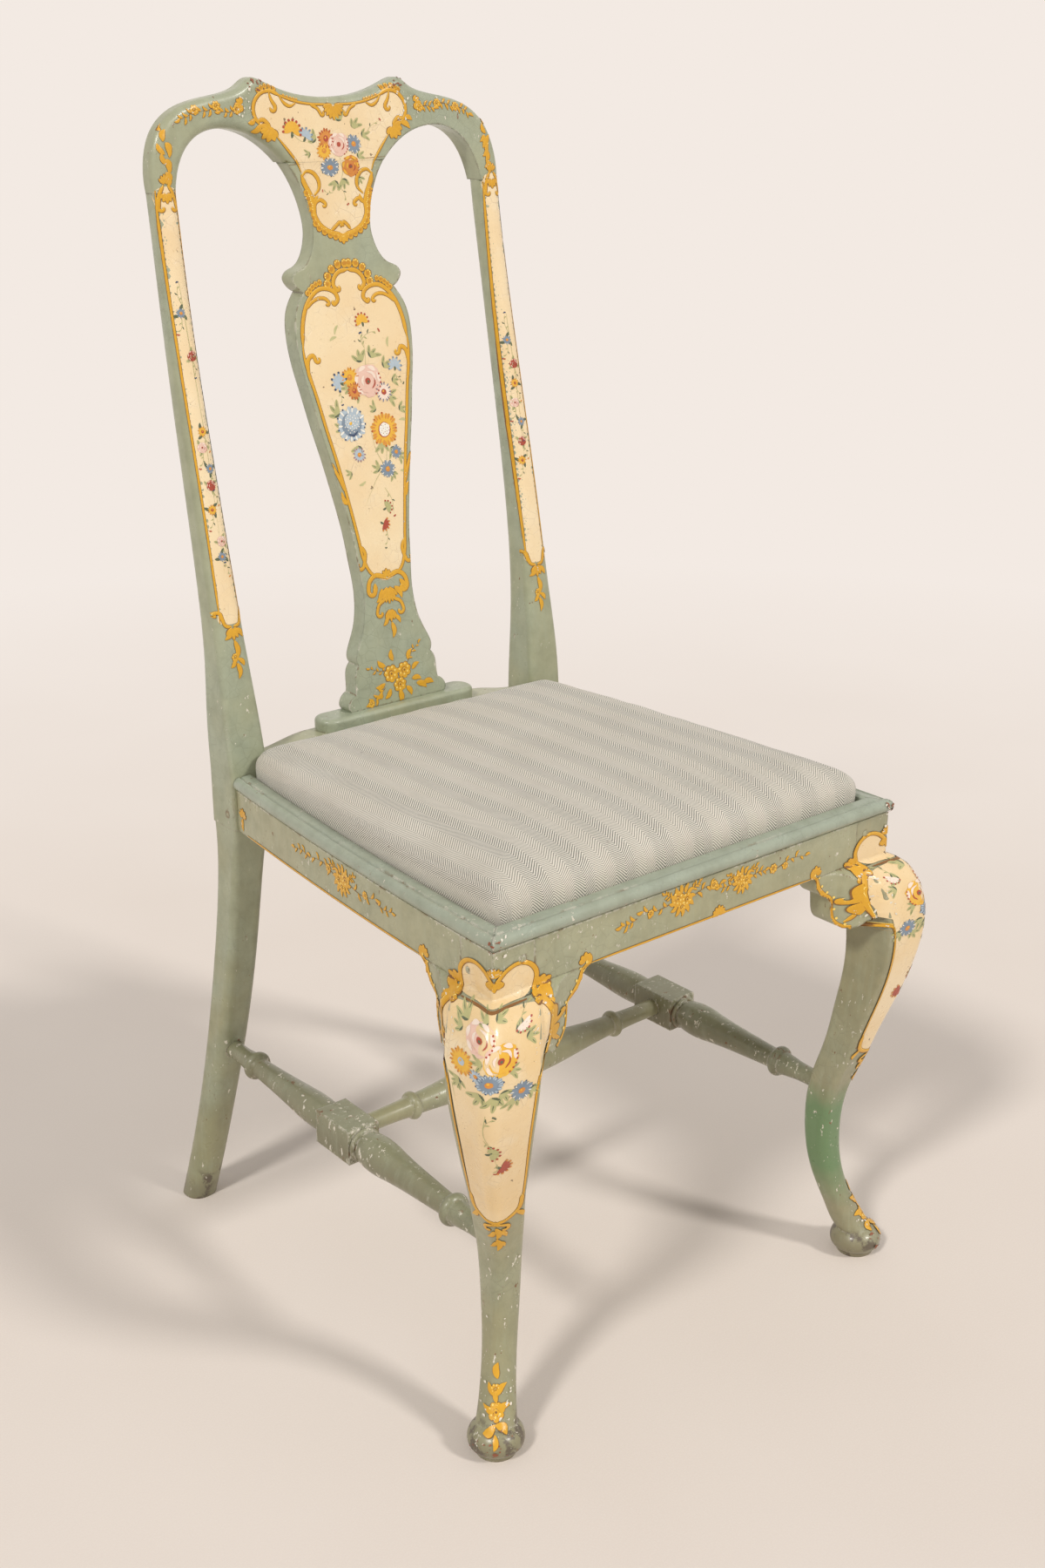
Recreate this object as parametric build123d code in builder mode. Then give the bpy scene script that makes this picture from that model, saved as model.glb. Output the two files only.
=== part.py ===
"""Painted side chair: hoop back with a vase splat, cabriole front legs, turned
H-stretcher and a lift-out slip seat.

Frame: millimetres, +Z up, the chair faces -Y and is symmetric about X = 0.
While it is drawn, Y = 0 is the front edge of the seat moulding. The pieces are
then moved along Y, so that the origin lies under the middle of the whole chair.
"""

from build123d import *
import os

os.makedirs("parts", exist_ok=True)

# ---------------------------------------------------------------- seat frame
seat_height = 455.0          # floor to the top of the seat moulding
seat_front_width = 444.0     # over the moulding, at the front corners
seat_rear_width = 381.0      # over the moulding, where it meets the rear legs
seat_depth = 405.5           # moulding front edge to the front of the rear legs
side_bow = 5.0               # outward bow of the side rails at mid length
moulding_width = 19.0
moulding_height = 12.0
moulding_overhang = 3.0      # moulding proud of the rail below it
rail_height = 38.0
rail_thickness = 30.0
front_post = 40.0            # square head of a front leg, between the rails
tenon_length = 20.0
tenon_thickness = 10.0
tenon_shoulder = 6.0         # bare rail above and below a tenon
joint_clearance = 0.1

# ---------------------------------------------------------------- rear legs and back
post_width = 37.8            # rear leg at seat height, across X
post_depth = 38.0
post_proud = 1.1             # rear leg outside the end of the seat moulding
crest_depth = 22.0
splat_depth = 17.0
splat_tenon_width = 56.0
splat_tenon_depth = 8.0
splat_tenon_height = 9.0
crest_softening = 7.0        # rounding of the crest rail's edges
dowel_diameter = 8.0
dowel_length = 40.0
dowel_play = 1.0             # spare depth of a dowel hole
peg_diameter = 6.0
peg_length = 25.0
upper_peg_rise = 25.0        # above the underside of the rails
lower_peg_rise = 13.0
peg_inset = 11.0             # from a rail's shoulder into the post
side_peg_offset = 2.0        # side pegs clear of the front ones
# height, size across and corner radius of the leg below the seat
rear_foot_splay = 36.8
rear_foot_rake = 59.5
rake_start = 0.42            # share of the rake that starts straight below the rails
rear_leg_stations = [
    (0.0, 31.5, 14.5),
    (50.0, 31.0, 13.0),
    (130.0, 31.0, 11.0),
    (207.0, 31.5, 8.5),
    (300.0, 31.8, 6.5),
    (374.0, 33.5, 5.0),
    (405.0, 36.5, 3.5),
]
# stile: rise above the seat, outer face inside the post's, width, depth and corner radius
stile_stations = [
    (0.0, 0.0, post_width, post_depth, 3.0),
    (27.0, -0.6, 37.6, 37.0, 4.0),
    (65.0, 0.0, 34.7, 34.5, 5.5),
    (105.0, 1.8, 30.6, 32.0, 7.0),
    (160.0, 2.8, 27.6, 30.0, 8.5),
    (235.0, 3.4, 26.0, 28.0, 9.5),
    (315.0, 4.6, 24.6, 26.4, 10.2),
    (395.0, 6.2, 23.6, 24.6, 10.4),
    (450.0, 7.8, 22.6, 23.2, 9.0),
    (490.0, 8.6, 22.0, crest_depth, 7.2),
]
# half outlines of the crest rail, X and rise above the stiles: its top from the middle out,
# and the arch from the stile to the splat
crest_top = [
    (0.0, 74.3), (22.0, 75.5), (42.0, 79.2), (60.0, 85.4), (70.0, 89.4), (76.0, 90.6),
    (82.0, 88.4), (88.0, 84.2), (98.0, 79.8), (116.0, 76.0), (137.0, 71.8), (158.0, 63.0),
    (173.5, 47.5), (181.0, 29.0), (183.4, 13.0), (183.0, 0.0),
]
crest_arch = [
    (161.0, 0.0), (157.6, 14.0), (149.5, 30.5), (138.0, 42.0), (122.0, 48.8), (105.0, 49.6),
    (86.0, 45.4), (68.0, 35.8), (51.5, 21.0),
]
# half outline of the splat, X and height above its base, as smooth runs that meet at creases
splat_outline = [
    [(53.5, 0.0), (56.0, 5.0), (54.0, 10.5), (47.5, 15.5)],
    [(47.5, 15.5), (46.6, 25.0), (45.6, 35.0), (41.0, 42.0)],
    [(41.0, 42.0), (43.0, 48.0), (40.5, 56.5), (32.8, 73.0), (28.4, 92.0), (27.6, 110.0),
     (29.3, 130.0), (31.6, 156.0), (38.0, 195.0), (45.0, 231.0), (51.0, 258.0), (56.0, 285.0),
     (60.0, 305.0), (62.5, 326.0), (62.4, 343.0), (59.6, 356.5), (54.0, 367.0), (49.0, 373.6)],
    [(49.0, 373.6), (56.6, 379.6), (58.6, 385.4), (54.6, 390.8), (46.5, 394.2), (38.6, 401.4),
     (33.8, 411.0), (31.0, 423.0), (31.2, 433.0), (34.0, 447.0), (41.3, 466.0), (51.5, 482.0)],
]
# front faces of the back and of the splat: set back from the rear posts, rise above the seat
back_curve = [(0.0, 0.0), (17.8, 145.0), (49.0, 305.0), (75.5, 445.0), (94.0, 590.0)]
splat_curve = [(10.3, 15.0), (28.5, 165.0), (54.0, 305.0), (75.5, 425.0), (87.0, 520.0)]

# ---------------------------------------------------------------- rear rail and shoe
rear_rail_thickness = 28.0
rear_rail_end_rise = 9.0          # top of the rear rail above the seat, at the rear legs
rear_rail_middle_rise = 17.0      # the same under the shoe
rear_ledge_width = 14.0           # rebate that carries the slip seat
rear_tenon_length = 12.0
shoe_length = 176.0
shoe_depth = 30.0
shoe_height = 12.0
shoe_setback = 2.0                # shoe behind the rear rail's front face
shoe_edge_radius = 4.0
shoe_shoulder = 6.0               # level top of the rear rail beyond the shoe

# ---------------------------------------------------------------- front legs
knee_step = 1.0              # top of the knee below the rails
foot_disc_radius = 17.0
foot_disc_height = 5.0
foot_pad_radius = 23.5
foot_pad_height = 27.0
foot_reach = -6.0            # pad centre along the corner's diagonal, outward
# height, outer and inner reach along the corner's diagonal, outer and other radius
leg_stations = [
    (404.0, -4.0, -58.0, 2.0, 2.0),
    (397.0, 12.0, -53.0, 6.0, 3.0),
    (380.0, 26.0, -42.0, 11.0, 4.0),
    (352.0, 33.5, -35.5, 12.0, 4.0),
    (322.0, 31.5, -33.0, 12.0, 4.0),
    (290.0, 23.0, -34.0, 11.0, 4.5),
    (258.0, 11.0, -39.0, 10.0, 5.0),
    (226.0, -1.5, -44.5, 9.0, 6.0),
    (198.0, -12.5, -52.0, 9.0, 6.5),
    (166.0, -23.5, -58.8, 9.0, 8.0),
    (134.0, -27.2, -59.5, 10.0, 9.0),
    (104.0, -25.8, -56.0, 10.0, 10.0),
    (76.0, -19.5, -48.0, 11.0, 11.0),
    (50.0, -8.0, -37.5, 12.0, 12.0),
    (24.0, 10.0, -24.0, 14.0, 14.0),
]

# ---------------------------------------------------------------- knee brackets
bracket_thickness = 22.0
bracket_root = 24.0           # end of the bracket inside the leg, from the corner
# outline: distance from the corner along the rail, drop below the rail
bracket_hollow = [(88.0, 0.0), (87.0, 9.0), (82.0, 17.0), (72.0, 22.4)]
bracket_lobe = [(70.5, 24.4), (69.6, 34.0), (67.6, 44.0), (60.0, 52.0), (50.0, 53.4), (40.0, 48.0)]
bracket_root_rise = 4.0       # inner end of the lobe above its last point
# swell of the face: distance from the corner, reach forward of the rail
bracket_swell = [(96.0, 0.0), (78.0, 0.0), (66.0, 3.0), (54.0, 9.0), (42.0, 16.0), (24.0, 22.0)]
# roll under the rail: drop below the rail, reach forward of it
bracket_roll = [(0.0, 0.0), (4.0, 7.0), (12.0, 14.0), (25.0, 19.5), (60.0, 23.0)]

# ---------------------------------------------------------------- corner blocks
corner_block_height = 25.0
corner_block_gap = 7.0
front_block_size = 66.0
rear_block_size = 54.0

# ---------------------------------------------------------------- stretchers
stretcher_height = 172.0
stretcher_block_length = 51.0
stretcher_block_width = 32.0
stretcher_block_height = 33.0
stretcher_block_share = 0.6       # place of the block along the seat's depth
stretcher_tenon_radius = 8.2
stretcher_tenon_inset = 4.0       # tenon end past the leg's centre
front_leg_inset = 28.3            # front leg's centre from the seat's corner, at the stretcher
front_ring_from_leg = 60.0
rear_ring_from_leg = 57.0
ring_radius = 14.5
vase_radius = 16.4
collar_radius = 16.0
cross_ring_from_block = 54.0
cross_ring_radius = 13.0
cross_radius = 16.5

# ---------------------------------------------------------------- slip seat
seat_gap = 0.8               # around the covered slip seat
rest_gap = 0.3               # under the covered slip seat
cover_thickness = 1.2
cover_flange = 26.0          # cover turned under the slip frame
slip_rail_width = 48.0
slip_rail_thickness = 16.0
slip_tenon_length = 25.0
slip_tenon_thickness = 6.0
slip_corner_radius = 12.0
webbing_width = 50.0
webbing_thickness = 1.2
webbing_pitch = 92.0
webbing_setback = 12.0       # strap end from the edge of the slip frame
webbing_fold = 22.0          # doubled end of a strap
hessian_thickness = 0.8
hessian_setback = 8.0
# crown of the stuffing: inset from its edge, rise
crown_stations = [(0.0, 0.0), (1.0, 4.0), (5.0, 9.0), (12.0, 13.5), (40.0, 21.0), (100.0, 26.5)]
tack_head_radius = 3.5
tack_head_height = 0.8
tack_shank_radius = 0.8
tack_shank_length = 9.0
cover_tack_inset = 20.0
cover_tack_margin = 39.0     # end tacks of the front and rear edges from the posts
front_tack_margin = 46.0     # end tacks of the side edges from the front and rear edges
rear_tack_margin = 50.0

# ---------------------------------------------------------------- derived heights
moulding_bottom = seat_height - moulding_height
rail_bottom = moulding_bottom - rail_height
rail_face = moulding_overhang
half_front = seat_front_width / 2
half_rear = seat_rear_width / 2
post_outer_x = half_rear + post_proud
post_inner_x = post_outer_x - post_width
post_centre_x = post_outer_x - post_width / 2
post_centre_y = seat_depth + post_depth / 2
front_post_inner_x = half_front - rail_face - front_post
foot_x = half_front + foot_reach * 2 ** 0.5 / 2
foot_y = -foot_reach * 2 ** 0.5 / 2
knee_top = rail_bottom - knee_step
stile_top = seat_height + stile_stations[-1][0]
splat_base = seat_height + rear_rail_middle_rise + shoe_height
splat_top = stile_top + crest_arch[-1][1]
splat_stretch = (splat_top - splat_base) / splat_outline[-1][-1][1]
hoop_half = post_outer_x - stile_stations[-1][1]
hoop_spread = hoop_half / crest_top[-1][0]
rear_leg_stretch = rail_bottom / rear_leg_stations[-1][0]
ankle_base = leg_stations[-1][0]           # inside the foot, which keeps its height
front_leg_stretch = (knee_top - ankle_base) / (leg_stations[0][0] - ankle_base)
stretcher_block_y = seat_depth * stretcher_block_share
slip_edge = moulding_width + seat_gap      # edge of the covered slip seat, from the moulding's edge
slip_bottom = moulding_bottom + rest_gap
slip_frame_bottom = slip_bottom + cover_thickness
slip_frame_top = slip_frame_bottom + slip_rail_thickness
hessian_bottom = slip_frame_top + 2 * webbing_thickness + tack_head_height
cushion_base = hessian_bottom + hessian_thickness


def side_x(y, inset=0.0):
    """Half width of the seat at depth y, less an inset from the moulding's edge."""
    run = y / seat_depth
    return half_front + (half_rear - half_front) * run + 4 * side_bow * run * (1 - run) - inset


def side_arc(y_start, y_end, inset):
    """The right-hand seat line between two depths."""
    y_mid = (y_start + y_end) / 2
    return ThreePointArc(
        (side_x(y_start, inset), y_start), (side_x(y_mid, inset), y_mid), (side_x(y_end, inset), y_end)
    )


def slip_outline(inset):
    """The plan of the slip seat, inside the edge of its cover by an inset."""
    right = side_arc(slip_edge + inset, seat_depth - seat_gap - inset, slip_edge + inset)
    left = ThreePointArc(*[(-(right @ u).X, (right @ u).Y) for u in (1, 0.5, 0)])
    Line(right @ 1, left @ 0)
    Line(left @ 1, right @ 0)


def curve_y(line, height):
    """Y of a back curve, drawn as (Y, Z), at a given height."""
    low, high = 0.0, 1.0
    for _ in range(40):
        middle = (low + high) / 2
        if (line @ middle).Y < height:
            low = middle
        else:
            high = middle
    return (line @ low).X


def back_points(line, depth=0.0):
    """The points of a front face of the back, moved back by a depth, as (Y, Z)."""
    return [(seat_depth + back + depth, seat_height + rise) for back, rise in line]


def rear_leg_sweep(height):
    """The share of the rear foot's splay and rake that the leg has at a height."""
    drop = 1 - height / rail_bottom
    return rake_start * drop + (1 - rake_start) * drop * drop


def mirrored(part):
    """The left-hand twin of a right-hand piece."""
    return mirror(part, about=Plane.YZ, mode=Mode.PRIVATE)


# ================================================================ pegs and dowels
front_peg_x = front_post_inner_x + peg_inset
side_peg_y = front_post + rail_face - peg_inset + side_peg_offset
rear_peg_y = seat_depth + peg_inset

with BuildPart() as joint_pegs:
    with BuildSketch(Plane.XZ.offset(-rail_face)):
        with Locations((front_peg_x, rail_bottom + upper_peg_rise)):
            Circle(peg_diameter / 2)
    extrude(amount=-peg_length)
    with BuildSketch(Plane.YZ.offset(side_x(side_peg_y, rail_face))):
        with Locations((side_peg_y, rail_bottom + lower_peg_rise)):
            Circle(peg_diameter / 2)
    extrude(amount=-peg_length)
    with BuildSketch(Plane.YZ.offset(post_outer_x)):
        with Locations((rear_peg_y, rail_bottom + lower_peg_rise)):
            Circle(peg_diameter / 2)
    extrude(amount=-peg_length)
    mirror(about=Plane.YZ)
joint_pegs.part.label = "joint_pegs"

back_line = Spline(*back_points(back_curve))
splat_line = Spline(*back_points(splat_curve))
stile_dowel_x = hoop_half - stile_stations[-1][2] / 2
stile_dowel_y = curve_y(back_line, stile_top) + crest_depth / 2

with BuildPart() as crest_dowels:
    with Locations((stile_dowel_x, stile_dowel_y, stile_top), (-stile_dowel_x, stile_dowel_y, stile_top)):
        Cylinder(dowel_diameter / 2, dowel_length)
crest_dowels.part.label = "crest_dowels"

# ================================================================ rails
post_inner_face = front_post + rail_face
tenon_height = rail_height - 2 * tenon_shoulder
rail_middle = rail_bottom + rail_height / 2

with BuildPart() as front_rail:
    with BuildSketch(Plane.XY.offset(rail_bottom)):
        with Locations((0, rail_face + rail_thickness / 2)):
            Rectangle(2 * front_post_inner_x, rail_thickness)
    extrude(amount=rail_height)
    with BuildSketch(Plane.XY.offset(rail_bottom + tenon_shoulder)):
        with Locations((0, rail_face + rail_thickness / 2)):
            Rectangle(2 * (front_post_inner_x + tenon_length), tenon_thickness)
    extrude(amount=tenon_height)
    add(joint_pegs.part, mode=Mode.SUBTRACT)
front_rail.part.label = "front_seat_rail"

with BuildPart() as side_rail:
    with BuildSketch(Plane.XY.offset(rail_bottom)):
        with BuildLine():
            outer = side_arc(post_inner_face, seat_depth, rail_face)
            inner = side_arc(post_inner_face, seat_depth, rail_face + rail_thickness)
            Line(outer @ 0, inner @ 0)
            Line(outer @ 1, inner @ 1)
        make_face()
    extrude(amount=rail_height)
    with BuildSketch(Plane.XY.offset(rail_bottom + tenon_shoulder)):
        for y_face, out in ((post_inner_face, -1), (seat_depth, 1)):
            with Locations((side_x(y_face, rail_face + rail_thickness / 2), y_face + out * tenon_length / 2)):
                Rectangle(tenon_thickness, tenon_length)
    extrude(amount=tenon_height)
    add(joint_pegs.part, mode=Mode.SUBTRACT)
side_rail.part.label = "right_seat_rail"

rear_rail_back = seat_depth + rear_rail_thickness
with BuildPart() as rear_rail:
    with BuildSketch(Plane.XZ.offset(-rear_rail_back)):
        with BuildLine():
            Polyline(
                (-post_inner_x, seat_height + rear_rail_end_rise),
                (-post_inner_x, rail_bottom),
                (post_inner_x, rail_bottom),
                (post_inner_x, seat_height + rear_rail_end_rise),
            )
            ramp_end = shoe_length / 2 + shoe_shoulder
            right_ramp = Spline(
                (post_inner_x, seat_height + rear_rail_end_rise), (ramp_end, seat_height + rear_rail_middle_rise),
                tangents=((-1, 0), (-1, 0)),
            )
            left_ramp = Spline(
                (-ramp_end, seat_height + rear_rail_middle_rise), (-post_inner_x, seat_height + rear_rail_end_rise),
                tangents=((-1, 0), (-1, 0)),
            )
            Line(right_ramp @ 1, left_ramp @ 0)
        make_face()
    extrude(amount=rear_rail_thickness)
    with BuildSketch(Plane.XY.offset(rail_bottom)):
        with Locations((0, seat_depth - rear_ledge_width / 2)):
            Rectangle(2 * post_inner_x, rear_ledge_width)
    extrude(amount=rail_height)
    with BuildSketch(Plane.XY.offset(rail_bottom + tenon_shoulder)):
        with Locations((0, seat_depth + rear_rail_thickness / 2)):
            Rectangle(2 * (post_inner_x + rear_tenon_length), tenon_thickness)
    extrude(amount=tenon_height)
rear_rail.part.label = "rear_seat_rail"

# ================================================================ seat moulding
nose_radius = moulding_height / 2


# section of the moulding: x runs outward from its outer edge, y is height from its top
with BuildSketch() as moulding_section:
    with BuildLine():
        nose = ThreePointArc((-nose_radius, -moulding_height), (0, -nose_radius), (-nose_radius, 0))
        Polyline(
            nose @ 1, (-nose_radius - 1.2, -1.4), (-nose_radius - 2.4, 0),
            (-moulding_width + 3.0, 0.8), (-moulding_width, -0.8),
            (-moulding_width, -moulding_height), nose @ 0,
        )
    make_face()

mitre_inner = (side_x(moulding_width, moulding_width), moulding_width)
mitre_direction = Vector(mitre_inner[0] - half_front, mitre_inner[1], 0)
mitre_plane = Plane(origin=(half_front, 0, 0), x_dir=mitre_direction, z_dir=mitre_direction.cross(Vector(0, 0, 1)))
mitre_run = 30.0

with BuildPart() as side_moulding:
    with BuildLine() as side_path:
        side_arc(-mitre_run, seat_depth, 0)
    path_start = side_path.line @ 0
    path_direction = side_path.line % 0
    with BuildSketch(Plane(
        origin=(path_start.X, path_start.Y, seat_height),
        x_dir=path_direction.cross(Vector(0, 0, 1)), z_dir=-path_direction,
    )):
        add(moulding_section.sketch)
    sweep(path=side_path.line.moved(Location((0, 0, seat_height))))
    split(bisect_by=mitre_plane, keep=Keep.TOP)
side_moulding.part.label = "right_seat_moulding"

with BuildPart() as front_moulding:
    with BuildSketch(Plane(origin=(0, 0, seat_height), x_dir=(0, -1, 0), z_dir=(-1, 0, 0))):
        add(moulding_section.sketch)
    extrude(amount=half_front + mitre_run, both=True)
    split(bisect_by=mitre_plane, keep=Keep.BOTTOM)
    split(
        bisect_by=Plane(
            origin=(-half_front, 0, 0),
            x_dir=(-mitre_direction.X, mitre_direction.Y, 0),
            z_dir=(-mitre_plane.z_dir.X, mitre_plane.z_dir.Y, 0),
        ),
        keep=Keep.BOTTOM,
    )
front_moulding.part.label = "front_seat_moulding"

# ================================================================ stretchers
stretcher_sweep = rear_leg_sweep(stretcher_height)
stretcher_start = Vector(half_front - front_leg_inset, front_leg_inset, stretcher_height)
stretcher_end = Vector(
    post_centre_x + rear_foot_splay * stretcher_sweep, post_centre_y + rear_foot_rake * stretcher_sweep,
    stretcher_height,
)
stretcher_direction = (stretcher_end - stretcher_start).normalized()
stretcher_axis = Axis(stretcher_start, stretcher_direction)
stretcher_run = (stretcher_end - stretcher_start).length
block_u = (stretcher_block_y - stretcher_start.Y) / stretcher_direction.Y
block_centre = stretcher_start + stretcher_direction * block_u
block_front = block_u - stretcher_block_length / 2
block_rear = block_u + stretcher_block_length / 2
stretcher_plane = Plane(
    origin=stretcher_start, x_dir=stretcher_direction, z_dir=stretcher_direction.cross(Vector(0, 0, 1))
)

with BuildPart() as side_stretcher:
    # front turning: tenon, neck, ring, vase and collar, as length and radius
    with BuildSketch(stretcher_plane):
        with BuildLine():
            ring = front_ring_from_leg
            tenon = Polyline(
                (block_front, 0), (-stretcher_tenon_inset, 0),
                (-stretcher_tenon_inset, stretcher_tenon_radius), (ring - 34, stretcher_tenon_radius),
            )
            neck = Spline(tenon @ 1, (ring - 6, 10.8), tangents=((1, 0), (1, 0.1)))
            bead = ThreePointArc((ring - 5, 11.2), (ring, ring_radius), (ring + 5, 11.2))
            Line(neck @ 1, bead @ 0)
            vase = Spline(
                (ring + 6.5, 9.6), (ring + 38, 11.2), (block_front - 48, 14.4),
                (block_front - 26, vase_radius), (block_front - 8, 14.4),
            )
            Line(bead @ 1, vase @ 0)
            Polyline(vase @ 1, (block_front - 6.5, 12.6), (block_front - 4.8, 12.6), (block_front - 4.8, 14.6))
            collar = ThreePointArc(
                (block_front - 4.8, 14.6), (block_front - 2.4, collar_radius), (block_front, 14.6)
            )
            Line(collar @ 1, tenon @ 0)
        make_face()
    revolve(axis=stretcher_axis)
    # rear turning
    with BuildSketch(stretcher_plane):
        with BuildLine():
            ring = stretcher_run - rear_ring_from_leg
            tenon = Polyline(
                (block_rear, 0), (stretcher_run + stretcher_tenon_inset, 0),
                (stretcher_run + stretcher_tenon_inset, stretcher_tenon_radius),
                (ring + 28, stretcher_tenon_radius),
            )
            neck = Spline(tenon @ 1, (ring + 5.5, 10.0), tangents=((-1, 0), (-1, 0.1)))
            bead = ThreePointArc((ring + 4.5, 10.4), (ring, ring_radius - 1), (ring - 4.5, 10.4))
            Line(neck @ 1, bead @ 0)
            swell = Spline(
                (ring - 6, 9.2), (ring - 40, 10.8), (block_rear + 50, 13.2),
                (block_rear + 20, 14.9), (block_rear, 13.6),
            )
            Line(bead @ 1, swell @ 0)
            Line(swell @ 1, tenon @ 0)
        make_face()
    revolve(axis=stretcher_axis)
    # square block that takes the cross stretcher
    with BuildSketch(stretcher_plane.offset(-stretcher_block_width / 2)):
        with Locations((block_u, 0)):
            Rectangle(stretcher_block_length, stretcher_block_height)
    block = extrude(amount=stretcher_block_width)
    chamfer(block.faces().sort_by(Axis.Z)[-1].edges() + block.faces().sort_by(Axis.Z)[0].edges(), 0.8)
    with BuildSketch(Plane.YZ.offset(block_centre.X)):
        with Locations((stretcher_block_y, stretcher_height)):
            Circle(stretcher_tenon_radius)
    extrude(amount=-stretcher_block_width, mode=Mode.SUBTRACT)
side_stretcher.part.label = "right_side_stretcher"

cross_reach = block_centre.X - stretcher_block_width / 2
with BuildPart() as cross_stretcher:
    with BuildSketch(Plane.XZ.offset(-stretcher_block_y)):
        with BuildLine():
            ring = cross_reach - cross_ring_from_block
            tenon = Polyline(
                (0, stretcher_height), (block_centre.X, stretcher_height),
                (block_centre.X, stretcher_height + stretcher_tenon_radius),
                (cross_reach, stretcher_height + stretcher_tenon_radius),
            )
            neck = Spline(tenon @ 1, (ring + 5.5, stretcher_height + 9.4), tangents=((-1, 0), (-1, 0.1)))
            bead = ThreePointArc(
                (ring + 4.5, stretcher_height + 9.8),
                (ring, stretcher_height + cross_ring_radius),
                (ring - 4.5, stretcher_height + 9.8),
            )
            Line(neck @ 1, bead @ 0)
            swell = Spline(
                (ring - 6, stretcher_height + 9.6), (ring - 34, stretcher_height + 11.6),
                (ring - 74, stretcher_height + 15.4), (0, stretcher_height + cross_radius),
            )
            Line(bead @ 1, swell @ 0)
            Line(swell @ 1, tenon @ 0)
        make_face()
    revolve(axis=Axis((0, stretcher_block_y, stretcher_height), (1, 0, 0)))
    mirror(about=Plane.YZ)
cross_stretcher.part.label = "cross_stretcher"

# ================================================================ rear legs
with BuildPart() as rear_leg:
    # raked leg, from the worn foot up to the seat rails
    for drawn_height, size, corner in rear_leg_stations:
        height = drawn_height * rear_leg_stretch
        with BuildSketch(Plane((
            post_centre_x + rear_foot_splay * rear_leg_sweep(height),
            post_centre_y + rear_foot_rake * rear_leg_sweep(height), height,
        ))):
            RectangleRounded(size, size, corner)
    loft()
    # post between the seat rails
    with BuildSketch(Plane((post_centre_x, post_centre_y, rail_bottom))):
        RectangleRounded(post_width, post_depth, stile_stations[0][-1])
    extrude(amount=seat_height - rail_bottom)
    # stile, from the seat up to the crest rail
    for rise, inset, width, depth, corner in stile_stations:
        height = seat_height + rise
        with BuildSketch(Plane((
            post_outer_x - inset - width / 2, curve_y(back_line, height) + depth / 2, height
        ))):
            RectangleRounded(width, depth, corner)
    loft()
    # mortises for the side and rear seat rails
    with BuildSketch(Plane.XY.offset(rail_bottom + tenon_shoulder - joint_clearance)):
        with Locations((side_x(seat_depth, rail_face + rail_thickness / 2), seat_depth + tenon_length / 2)):
            Rectangle(tenon_thickness + 2 * joint_clearance, tenon_length + 2 * joint_clearance)
        with Locations((post_inner_x + rear_tenon_length / 2, seat_depth + rear_rail_thickness / 2)):
            Rectangle(rear_tenon_length + 2 * joint_clearance, tenon_thickness + 2 * joint_clearance)
    extrude(amount=tenon_height + 2 * joint_clearance, mode=Mode.SUBTRACT)
    # socket for the side stretcher
    with BuildSketch(Plane(stretcher_axis.position + stretcher_direction * (stretcher_run + stretcher_tenon_inset),
                           z_dir=stretcher_direction)):
        Circle(stretcher_tenon_radius)
    extrude(amount=-rear_ring_from_leg, mode=Mode.SUBTRACT)
    # holes for the crest dowel and the peg
    with Locations((stile_dowel_x, stile_dowel_y, stile_top)):
        Cylinder(dowel_diameter / 2, dowel_length + dowel_play, mode=Mode.SUBTRACT)
    add(joint_pegs.part, mode=Mode.SUBTRACT)
rear_leg.part.label = "rear_leg_right"

# ================================================================ splat
with BuildPart() as splat:
    with BuildSketch(Plane.YZ):
        with BuildLine():
            front = Spline(*back_points(splat_curve))
            back = Spline(*back_points(splat_curve, splat_depth))
            Line(front @ 0, back @ 0)
            Line(front @ 1, back @ 1)
        make_face()
    extrude(amount=half_front, both=True)
    with BuildSketch(Plane.XZ):
        for side in (1, -1):
            with BuildLine():
                outline = [
                    Spline(*[(side * x * hoop_spread, splat_base + h * splat_stretch) for x, h in points])
                    for points in splat_outline
                ]
                Polyline(outline[-1] @ 1, (0, splat_top), (0, splat_base), outline[0] @ 0)
            make_face()
    extrude(amount=2 * seat_depth, both=True, mode=Mode.INTERSECT)
    # tenons into the shoe and the crest rail
    for height, below in ((splat_base, splat_tenon_height), (splat_top, 0)):
        with BuildSketch(Plane.XY.offset(height - below)):
            with Locations((0, curve_y(splat_line, height) + splat_depth / 2)):
                Rectangle(splat_tenon_width, splat_tenon_depth)
        extrude(amount=splat_tenon_height)
splat.part.label = "back_splat"

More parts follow.
